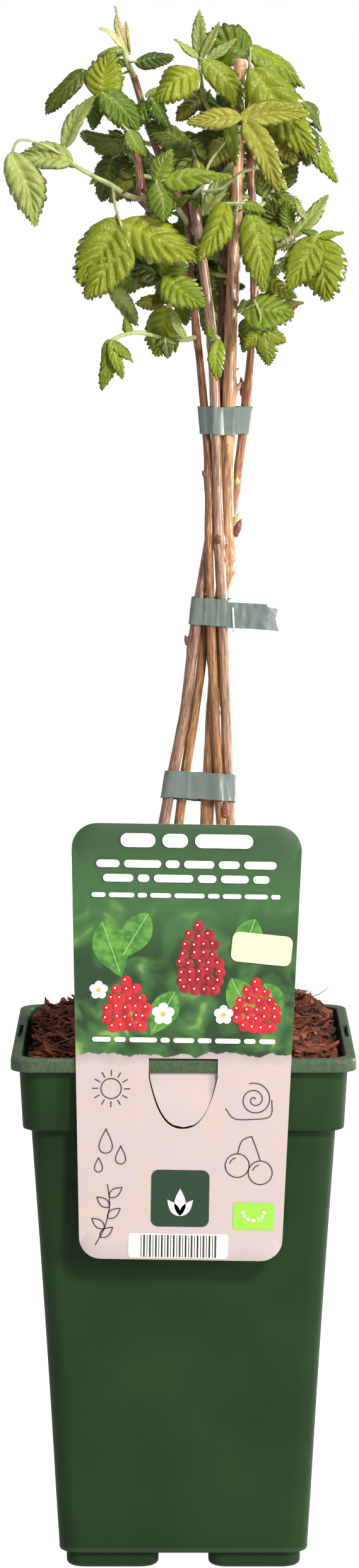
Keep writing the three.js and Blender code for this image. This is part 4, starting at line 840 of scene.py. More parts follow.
def print_bunches(surface):
    """Round domed berries in rows that narrow to the foot of each bunch."""
    rng = np.random.default_rng(BERRY_SEED)
    for x, z, length, width, ink in BUNCHES:
        rows = int(length / BERRY_ROW)
        for row in range(rows):
            half = width / 2 * math.sin(math.pi * (0.2 + 0.72 * (1 - row / rows))) ** 0.8
            count = max(1, int(2 * half / BERRY_PITCH))
            for k in range(count):
                across = (k - (count - 1) / 2) * BERRY_PITCH + rng.normal(0, 0.4)
                centre = (x + across + 0.12 * row, z - 2 - row * BERRY_ROW + rng.normal(0, 0.4))
                patch(surface, disc(centre, rng.uniform(2.1, 2.6)), 3, ink, dome=0.35)
                patch(surface, disc((centre[0] - 0.6, centre[1] + 0.7), 0.42, 8), 8.6, 2)


def print_leaves(surface):
    """Plain leaves, domed a little, each with a rib."""
    for x, z, length, turn, wide in PRINT_LEAVES:
        patch(surface, leaf_outline((x, z), length, turn, wide), 2, 0, dome=0.12)
        rib = np.linspace(0.03, 0.9, 8)[:, None] * length * cos_sin(turn)
        ribbon(surface, (x, z) + rib, 0.3, 4.6, 1)


def print_blossoms(surface):
    """Five round petals round a small middle."""
    for x, z, size in BLOSSOMS:
        for k in range(5):
            c, s = cos_sin(72 * k)
            petal = (x + size * 0.62 * s, z + size * 0.62 * c)
            patch(surface, disc(petal, size * 0.46), 5, 0, dome=0.1)
        patch(surface, disc((x, z), size * 0.26, 10), 7.4, 1, dome=0.1)


def print_bars(surface):
    """Rows of bars, each row centred."""
    for z, height, lengths, gap in BAR_ROWS:
        x = -(sum(lengths) + gap * (len(lengths) - 1)) / 2
        for length in lengths:
            patch(surface, bar((x + length / 2, z), length, height), 9)
            x += length + gap


def flat_path(points, count):
    """A smooth line (x, z) through points."""
    return smooth_path([(x, z, 0) for x, z in points], count)[:, :2]


def print_lines(surface):
    """Thin line drawings: a sun, drops, a sprig, a snail-shell curl and a pair of cherries."""
    sun = (-31, 219)
    lines = [arc(sun, 4.4, 0, 360, 27)]
    lines += [sun + np.linspace(5.6, 8.2, 3)[:, None] * cos_sin(30 * k) for k in range(12)]
    a = np.linspace(0, 2 * np.pi, 30)
    drop = np.stack([4.2 * np.sin(a) * np.sin(a / 2) ** 1.6, 5.4 * np.cos(a)], -1)
    for x, z, size in ((-33, 196, 1.0), (-26.5, 190, 0.75), (-36, 185.5, 0.6)):
        lines.append((x, z) + drop * size)
    stem = flat_path([(-37, 150), (-33, 158), (-31, 168), (-32, 177)], 20)
    lines.append(stem)
    for k, side in enumerate((1, -1, 1, -1, 1)):
        outline = leaf_outline(stem[3 + 3 * k], 7.0, 90 - side * 52, 0.5)
        lines.append(np.vstack([outline, outline[:1]]))
    t = np.linspace(0.6, 4.6 * np.pi, 60)
    lines.append((31, 215) + 0.52 * np.stack([t * np.cos(t), t * np.sin(t)], -1))
    lines.append(flat_path([(38.5, 215), (38, 208), (30, 206.4), (22, 206.8), (18.5, 211)], 24))
    for x, z in ((24, 186), (34, 183)):
        lines += [arc((x, z), 5.2, 0, 360, 27), arc((x, z), 3.4, 100, 165, 8)]
        lines.append(flat_path([(x, z + 5.2), (x + (29 - x) * 0.4, z + 11), (30, 199)], 12))
    for line in lines:
        ribbon(surface, np.array(line), 0.46, 2)


STRIPES = 26
STRIPE_BOX = (-22.6, 20.6, 144.9, 155.6)


def print_stripes(surface):
    """A white box with plain stripes at even steps, alternately thin and thick."""
    x0, x1, z0, z1 = STRIPE_BOX
    patch(surface, bar(((x0 + x1) / 2, (z0 + z1) / 2), x1 - x0, z1 - z0, corner=0.04), 2)
    z = np.linspace(z0 + 0.3, z1 - 0.6, 3)
    for k, x in enumerate(np.linspace(x0 + 5.5, x1 - 5.5, STRIPES)):
        ribbon(surface, np.stack([np.full(3, x), z], -1), 0.34 + 0.4 * (k % 2), 3.2, 1)


def print_panels(surface):
    """A dark green square with round corners and a sprig, a plain light green field, a pink tag."""
    patch(surface, bar((-0.5, 171.2), 25.2, 25, corner=0.12), 2, 0)
    patch(surface, bar((31.4, 163.8), 17.8, 12, corner=0.02), 2, 1)
    patch(surface, bar((33, 281), 26, 13, turn=-5, corner=0.22), 9, 2)
    for k in range(7):
        c, s = cos_sin(180 + 30 * k)
        patch(surface, disc((31.4 + 4.6 * c, 165.5 + 3.6 * s), 0.75, 10), 4, 3)
    for turn, length in ((90, 12), (52, 9), (128, 9)):
        patch(surface, leaf_outline((-0.5, 163.5), length, turn, 0.42), 4, 3)


# ---- canes ----

# Each limb, as in the part's source: the radius at its foot and tip, and the points on its way.
LIMBS = {
    "cane_thick": ((3.15, 2.6), ((6, 10, GROUND), (10, 5.5, 315), (11.3, 3.2, 342), (13, 3.4, 372),
        (16.2, 3.4, 420), (19.4, 2.4, 447), (19.4, 1.4, 473), (20, -1.4, 504), (21.4, -1.6, 550),
        (23, -1.4, 605), (24.9, -1, 662))),
    "cane_pale": ((2.45, 2.15), ((28, 8, GROUND), (21.6, 3.8, 315), (20, 2.5, 342), (19, 0.2, 372),
        (17.4, -2.6, 420), (15.8, -2.9, 450), (14.2, -3.1, 504), (12.6, -3.1, 538), (8.9, -3, 570),
        (4.2, -2.6, 600.5))),
    "cane_bent": ((2.2, 1.5), ((22.5, -7, GROUND), (17.4, -2, 315), (15.9, -0.7, 342), (14.1, -1.4, 372),
        (12, -2.6, 420), (11.3, -2.6, 450), (11.4, -1.4, 478), (9.6, 0, 504), (6.5, 0.4, 538),
        (2.9, 0.8, 570), (1.6, 1.2, 595), (-2.4, 1, 602.5), (-11.8, 0, 623), (-21.7, -1, 654.5))),
    "cane_left": ((2.6, 1.9), ((-24, -4, GROUND), (-10.4, -2, 315), (-5.7, -1.2, 342), (0.1, -1.2, 372),
        (6, -1.5, 418), (7.2, -1.1, 427), (11.2, 2.5, 450), (13.4, 2.6, 472), (15.3, 2.3, 504),
        (16.5, 2.8, 534), (18.6, 3.4, 604), (19.7, 3.6, 630))),
    "cane_short": ((2.25, 2.0), ((-12.5, 7, GROUND), (-3.2, 2.2, 315), (0, 1, 342), (4.6, 1.8, 372),
        (7.8, 2.6, 395), (9.3, 3.2, 418), (9.5, 3.3, 427))),
    "bough_right": ((2.25, 1.6), ((19.6, 3, 452), (21, 7.6, 461), (23.4, 6.4, 477), (26.8, 1, 504),
        (29.5, -0.6, 530), (31, -0.6, 552), (30.8, 0, 580), (29.6, 0.6, 612), (28.4, 1, 646))),
    "bough_left": ((2.0, 1.4), ((2.2, 0.8, 578), (-4.5, 0.2, 586), (-12, -1, 595), (-18.6, -2, 602.4),
        (-19, -2, 609), (-20.4, -1.8, 619), (-25, -1.4, 631))),
}

# Where a limb swells: height, how far it stands out, its half length, and the side that it favours,
# in degrees from the right towards the back.
KNOTS = {
    "cane_thick": ((570, 0.42, 60, 180), (441, 0.6, 5, -10), (434, 0.5, 2, 20), (290, 0.35, 5, 200),
        (376, 0.4, 5, -60), (441, 0.95, 7, -20), (452, 0.8, 5, 10), (518, 0.7, 4, 0), (592, 0.6, 5, -90),
        (626, 0.6, 5, -90), (655, 0.3, 4, 120)),
    "cane_pale": ((300, 0.3, 5, 0), (385, 0.35, 5, 180), (451, 0.6, 3.4, -90), (449.4, 0.55, 0.9, -60),
        (539, 0.5, 5, -90), (596, 0.45, 5, 0)),
    "cane_bent": ((331, 0.6, 4, -40), (400, 0.3, 5, 180), (478, 0.35, 5, 180), (541, 0.5, 4.5, -120),
        (564, 0.5, 4.5, -120), (590, 0.5, 4, -90), (598, 0.7, 5, 0), (636, 0.35, 4, 90)),
    "cane_left": ((285, 0.3, 5, 180), (405.5, 0.55, 4.5, 180), (465, 0.4, 5, 180), (560, 0.5, 5, 90),
        (590, 0.5, 5, 90), (622, 0.4, 4, 180)),
    "cane_short": ((300, 0.35, 5, 200), (365, 0.35, 5, 180)),
    "bough_right": ((476, 0.45, 4.5, -90), (504, 0.3, 5, 0), (516, 0.55, 4, 180), (550, 0.45, 4.5, -90),
        (568, 0.5, 4.5, 0), (616, 0.45, 4.5, 0), (640, 0.3, 4, 180)),
    "bough_left": ((601, 0.6, 4, 180), (607, 0.5, 4, 0), (616, 0.4, 3.5, 90)),
}

CUT_LIMBS = ("cane_thick", "cane_short", "cane_pale")
BARK_STEP = 1.1             # length of limb between rings
BARK_SIDES = 30
GRAIN_STRETCH = 0.07        # bark patterns are this much shorter along the limb than round it


def limb_curve(name):
    """The smooth line along the middle of a limb."""
    return smooth_path(LIMBS[name][1])


def limb_at(name, height):
    """The middle of a limb at a height, and its radius there."""
    curve = limb_curve(name)
    even = np.linspace(0, 1, len(curve))
    share = np.interp(height, curve[:, 2], even)
    first, last = LIMBS[name][0]
    return line_at(share, even, curve), first + (last - first) * share


def bark_rings(name, seed):
    """A limb's bark: its radius times 1 + flutes + grain, plus swellings lift · exp(-(z / half)²)
    that favour one side. A cut limb ends in a worn edge and a sunken pith."""
    path, run, share = even_path(limb_curve(name), BARK_STEP)
    run = run[:, None]
    a = circle_steps(BARK_SIDES)[None]
    place = np.stack(np.broadcast_arrays(np.cos(a) * 3, np.sin(a) * 3, run * GRAIN_STRETCH + 0 * a), -1)
    flutes = 0.022 * np.sin(3 * a + run * 0.011 + seed) + 0.014 * np.sin(5 * a - run * 0.008)
    grain = ripple(place, 2.4, seed) * 0.022 + ripple(place, 1.1, seed + 1) * 0.018
    bends = ripple(np.hstack([run, 0 * run]), 36, seed + 2, 5)[:, None] * 0.02
    outward = spokes(path, BARK_SIDES)
    swell = 0 * a
    for z, lift, half, bearing in KNOTS[name]:
        favour = 0.45 + 0.55 * np.clip(outward @ (*cos_sin(bearing), 0), -0.4, 1)
        rough = 1 + 0.35 * ripple(place * [1, 1, 4], 1.6, seed + int(z))
        swell = swell + lift * favour * rough * np.exp(-((path[:, 2:3] - z) / half) ** 2)
    radius = tapering(*LIMBS[name][0], share, BARK_SIDES) * (1 + flutes + grain + bends) + swell
    high = (grain / 0.03 + 1) / 2
    if name in CUT_LIMBS:
        tip = path_frames(path)[2][-1]
        sunk = np.array([-0.35, 0, 0.02, -0.15, -0.9])[:, None]
        path = np.vstack([path[:-1], path[-1] + tip * sunk])
        edge = radius[-1:]
        radius = np.vstack([radius[:-1], edge, edge - 0.22, edge * 0.7, edge * 0.42, edge * 0.3])
        high, place, outward = (np.concatenate([v, v[[-1] * 4]]) for v in (high, place, outward))
    return path[:, None] + outward * radius[..., None], place, high


def bark_of(name, colours, seed):
    """Builds a limb's bark in the place of its node."""
    surface = Surface()
    grid, place, high = bark_rings(name, seed)
    surface.add_tube(grid, 0, 3 if name in CUT_LIMBS else 0, bark_place=place, bark_high=high)
    slot = "cane" if name[0] == "c" else "bough"
    return surface.build(f"bark_{name}", [cane_bark(name, *colours), cut_wood()], slot, [name])


def cane_bark(limb, upper, lower, streak):
    """Cane bark: a smooth satin skin over fine long fibres, with dark streaks, small scars and a
    greyish bloom. Its colour goes from one end of the limb to the other."""
    material, add, feed = new_material(f"Raspberry cane bark, {limb.split('_')[1]}", ior=1.45,
                                       coat_weight=0.6, coat_roughness=0.16)
    along = add("vector of", attribute_name="bark_place")
    high = add("value of", attribute_name="bark_high")
    place = add("object place")
    foot, tip = (LIMBS[limb][1][k][2] * MM for k in (0, -1))
    base = stain(add, lower, upper, add("split", place), foot * 0.7 + tip * 0.3, foot * 0.3 + tip * 0.7)
    fibres = add("noise", along, 1 / 0.45, 3.0)
    for layer in ((streak, add("noise", along, 1 / 1.1, 5.0, 0.65), 0.4, 0.6, 0.0, 0.75),
                  ("#e6c092", fibres, 0.52, 0.7, 0.0, 0.5),
                  ("#a58a70", add("noise", place, per_mm(10), 4.0), 0.55, 0.75, 0.0, 0.25),
                  ("#4a2a1c", add("cells", place, per_mm(4.5)), 0.06, 0.13, 0.55, 0.0)):
        base = stain(add, base, *layer)
    feed(base_color=base, roughness=add("range", high, 0.0, 1.0, 0.62, 0.4),
         normal=add("bump", 0.7, 0.22 * MM, fibres))
    return material


def cut_wood():
    """Secateur-cut cane: a pale pinkish ring of wood round a browned pith, matt and finely ragged."""
    return two_toned("Cut cane wood", "#d9b49a", "#a06f52", 0.9, 4.0, (0.35, 0.7), (0.8, 0.2),
                     roughness=0.7, ior=1.4)


# Buds and stubs: limb, height, bearing, degrees that it leans out, length, width, kind.
BUDS = (
    ("cane_thick", 452.4, -12, 24, 9.6, 3.6, 0), ("bough_right", 475.6, -88, 20, 4.2, 2.5, 1),
    ("cane_left", 404.8, 182, 26, 5.4, 2.7, 0), ("cane_bent", 328, -42, 16, 8.4, 4, 0),
    ("cane_pale", 450.2, -100, 20, 4.6, 3, 0), ("cane_pale", 448.6, -26, 60, 2.6, 1.7, 0),
    ("cane_thick", 458.4, -12, 30, 6.6, 1.9, 1), ("bough_right", 514.5, 188, 14, 9.5, 2.8, 0),
    ("cane_thick", 517, -4, 32, 5, 2.6, 2), ("cane_thick", 526.4, 0, 62, 1.9, 1.1, 2),
    ("cane_bent", 596.4, -20, 50, 3.2, 2.4, 0), ("bough_left", 600.4, 186, 30, 4.6, 3, 0),
    ("bough_left", 604, -40, 60, 3.4, 2.4, 0), ("cane_thick", 656, 110, 26, 4.6, 2.4, 0),
    ("cane_left", 466, 150, 26, 4.4, 2.3, 0), ("cane_short", 366, 190, 26, 4, 2.2, 0),
    ("cane_thick", 377, 70, 26, 4.4, 2.4, 0), ("bough_right", 506, 60, 26, 3.8, 2.1, 1),
    ("cane_pale", 386, 100, 26, 4.2, 2.2, 0), ("cane_bent", 479, 200, 26, 3.8, 2.1, 0),
)


def tapered(surface, foot, tip, width, slot, sides=12, rows=10):
    """A bud-like body from foot to tip: half width · sin(pi · s^0.75)^0.8 at each share s."""
    s = np.linspace(0.03, 0.99, rows)
    radius = width / 2 * np.sin(np.pi * s ** 0.75) ** 0.8
    surface.add_tube(rings(foot + s[:, None] * (tip - foot), radius, sides), slot)


def cane_buds(settings):
    """Each bud: a plump body in overlapping scales."""
    surface = Surface()
    for limb, height, bearing, lean, length, width, kind in BUDS:
        middle, radius = limb_at(limb, height)
        ahead = unit(limb_at(limb, height + 2)[0] - middle)
        out = np.array([*cos_sin(bearing), 0.0])
        foot = middle + out * (radius - 0.5)
        c, s = cos_sin(lean)
        tip = foot + (ahead * c + out * s) * length
        tapered(surface, foot, tip, width, kind)
        if kind == 2:
            continue
        across = np.cross(ahead, out)
        for turn, part in ((-55, 0.55), (50, 0.62), (0, 0.45), (180, 0.5)):
            c, s = cos_sin(turn)
            offset = (out * c + across * s) * width * 0.16
            tapered(surface, foot + offset, foot + (tip - foot) * part + offset * 1.9, width * 0.62,
                    kind, 8, 7)
    scales = [bud_scale("Bud scales, red-brown", settings.bud),
              bud_scale("Bud scales, green", settings.bud_green)]
    return surface.build("cane_buds", [*scales, cut_wood()], "cane")


def bud_scale(name, colour):
    """Papery bud scales: satin, streaked, with pale edges."""
    return two_toned(name, colour, "#b39a6a", 1.2, 4.0, (0.5, 0.8, 0.0, 0.6), (0.7, 0.2),
                     roughness=0.5, ior=1.45)


# ---- tapes ----

# Each tape: its height, how it tilts along x and y, where it is creased, and what it goes round.
TAPES = {
    "low": (341.6, (-0.05, -0.22), (2.0, 15.2),
            ("cane_left", "cane_short", "cane_thick", "cane_pale", "cane_bent")),
    "middle": (420.0, (-0.06, 0.0), (9.5, 14.8),
               ("cane_left", "cane_short", "cane_bent", "cane_pale", "cane_thick")),
    "top": (504.4, (0.0, 0.0), (13.4, 22.0),
            ("cane_bent", "cane_pale", "cane_left", "cane_thick", "bough_right")),
}
TAPE_GAP = CLEAR + 0.25
TAPE_ROWS = 11
TAPE_SAG = 0.45             # share of the space behind the tape that it sags in by
TAPE_POINTS = 170


def taut_outline(circles, extra):
    """The tight line round some circles, at even steps: at each angle it touches the circle that
    reaches furthest that way, runs straight from one circle to the next, and sags a little between."""
    a = np.linspace(np.pi, 3 * np.pi, 720, endpoint=False)
    way = np.stack([np.cos(a), np.sin(a)], -1)
    reach = way @ circles[:, :2].T + circles[:, 2]
    best = circles[reach.argmax(1)]
    points = loop_points(best[:, :2] + way * (best[:, 2:] + extra), TAPE_POINTS)
    gap = (np.linalg.norm(points[:, None] - circles[:, :2], axis=2) - circles[:, 2]).min(1) - extra
    return points + unit(points.mean(0) - points) * np.clip(TAPE_SAG * gap, 0, 0.9)[:, None]


def tape_band(surface, height, slopes, creases, held, seed):
    """A band round the canes: rows of taut outlines, with a thin hem, soft waves and creases where
    it is pulled together, and its inner face a little inside its outer one."""
    layers = []
    for extra, hem in ((TAPE_GAP + 0.5, 0.12), (TAPE_GAP + 0.12, 0)):
        rows = []
        for share in np.linspace(-1, 1, TAPE_ROWS):
            z = height + share * TAPE_WIDTH / 2
            circles = np.array([(*middle[:2], r) for middle, r in (limb_at(name, z) for name in held)])
            outline = taut_outline(circles, extra + hem * smooth_step(abs(share), 0.75, 1.0))
            rows.append(np.column_stack([outline, z + (outline - [12, 0]) @ slopes]))
        layers.append(np.array(rows))
    outer, inner = layers
    middle = outer.mean((0, 1))
    out = unit((outer - middle) * [1, 1, 0])
    wave = 0.12 * ripple(outer * [1, 1, 0.3], 6.5, seed) + 0.02 * ripple(outer, 2.4, seed + 1)
    for x in creases:
        near = np.exp(-((outer[..., 0] - x - 0.05 * (outer[..., 2] - height)) / 0.75) ** 2)
        wave = wave + 0.45 * near * (outer[..., 1] < middle[1])
    outer = outer + out * np.clip(wave, -0.36, 0.5)[..., None]
    outer[..., 2] += 0.16 * ripple(outer[..., :2], 7, seed + 2)
    grid = np.concatenate([outer, inner[::-1]])
    faces = grid_faces(len(grid), TAPE_POINTS, wrap_rows=True)[:, ::-1]
    surface.add(grid.reshape(-1, 3), [(faces, 0)])


def tape_end(surface, path, half, seed, slant, slot):
    """A loose end of tape: a thin strip along a smooth path, with soft waves and a ragged cut."""
    dense, _, share = even_path(smooth_path(path), 0.5)
    v = np.linspace(-1, 1, 15)
    grid = dense[:, None] + np.array([0, 0, 1.0]) * half * v[None, :, None]
    ragged = ripple(np.stack([v * 6, 0 * v], -1), 2.2, seed) * 0.7 + slant * v
    grid[..., 0] += smooth_step(share, 0.7, 1.0)[:, None] * ragged
    ease = smooth_step(share, 0.1, 0.5)[:, None]
    grid[..., 1] += 0.25 * ripple(grid[..., [0, 2]] * [1, 0.4], 5, seed + 1) * ease
    thick = np.array([0, 0.14, 0])
    surface.add_tube(np.concatenate([grid - thick, (grid + thick)[:, ::-1]], 1), slot)


def strapping(name, colour, dark):
    """Woven polypropylene tape: a satin film over 0.9 mm threads, which show faintly."""
    material, add, feed = new_material(name, roughness=0.32, ior=1.49, coat_weight=0.25,
                                       coat_roughness=0.2)
    place = add("object place")
    pitch = 2 * math.pi / (0.9 * MM)
    waves = [add("sine", add("times", add("split", place, output=axis), pitch)) for axis in ("X", "Z")]
    weave = add("times", *waves)
    base = stain(add, dark, colour, weave, -1.0, 1.0, 0.65, 0.9)
    base = stain(add, base, dark, add("noise", place, per_mm(5), 4.0), 0.5, 0.75, 0.0, 0.5)
    feed(base_color=base, normal=add("bump", 0.2, 0.04 * MM, weave))
    return material


# The middle tape's two loose ends, the fore one and the silvery one behind it, and the staple through
# them: points as x, y and height over the middle of the tape.
FORE_END = ((18.6, -5.5, -1.2), (22, -5.55, -1.3), (29, -5.2, -1.7), (36.8, -5.0, -2.1))
BACK_END = ((19.4, -4.7, -1.8), (24, -4.75, -2.0), (32, -4.4, -2.4), (40.6, -4.0, -3.4))
STAPLE = ((22.3, -3.9, -8.2), (22.3, -5.7, -8.3), (22.25, -5.95, -7.6), (22.0, -5.95, -3),
          (21.8, -5.95, 1.2), (21.75, -5.7, 1.8), (21.75, -3.9, 1.7))


def make_tapes(settings):
    """The three bands, the loose ends, and the staple of galvanised steel wire."""
    tape = strapping("Woven polypropylene tape", settings.tape, settings.tape_dark)
    silver = strapping("Woven polypropylene tape, silvery face", settings.tape_back, settings.tape)
    middle = (0, 0, TAPES["middle"][0])
    for seed, (name, spec) in enumerate(TAPES.items()):
        surface = Surface()
        tape_band(surface, *spec, 40 + 5 * seed)
        if name == "middle":
            tape_end(surface, np.add(FORE_END, middle), 5.6, 61, 0.5, 0)
            tape_end(surface, np.add(BACK_END, middle), 5.2, 62, -0.5, 1)
        surface.build(f"tape_{name}", [tape, silver], "tape", [f"tie_{name}"], crease=50)
    surface = Surface()
    wire = smooth_path(np.add(STAPLE, middle), 60)
    surface.add_tube(rings(wire, np.full(60, 0.5), 8))
    steel = two_toned("Galvanised steel wire", "#c9c9c8", "#f1f1f0", 1.5, 3.0, (), roughness=0.35,
                      metallic=0.5)
    surface.build("tape_staple", [steel], "tape")


# ---- crown ----

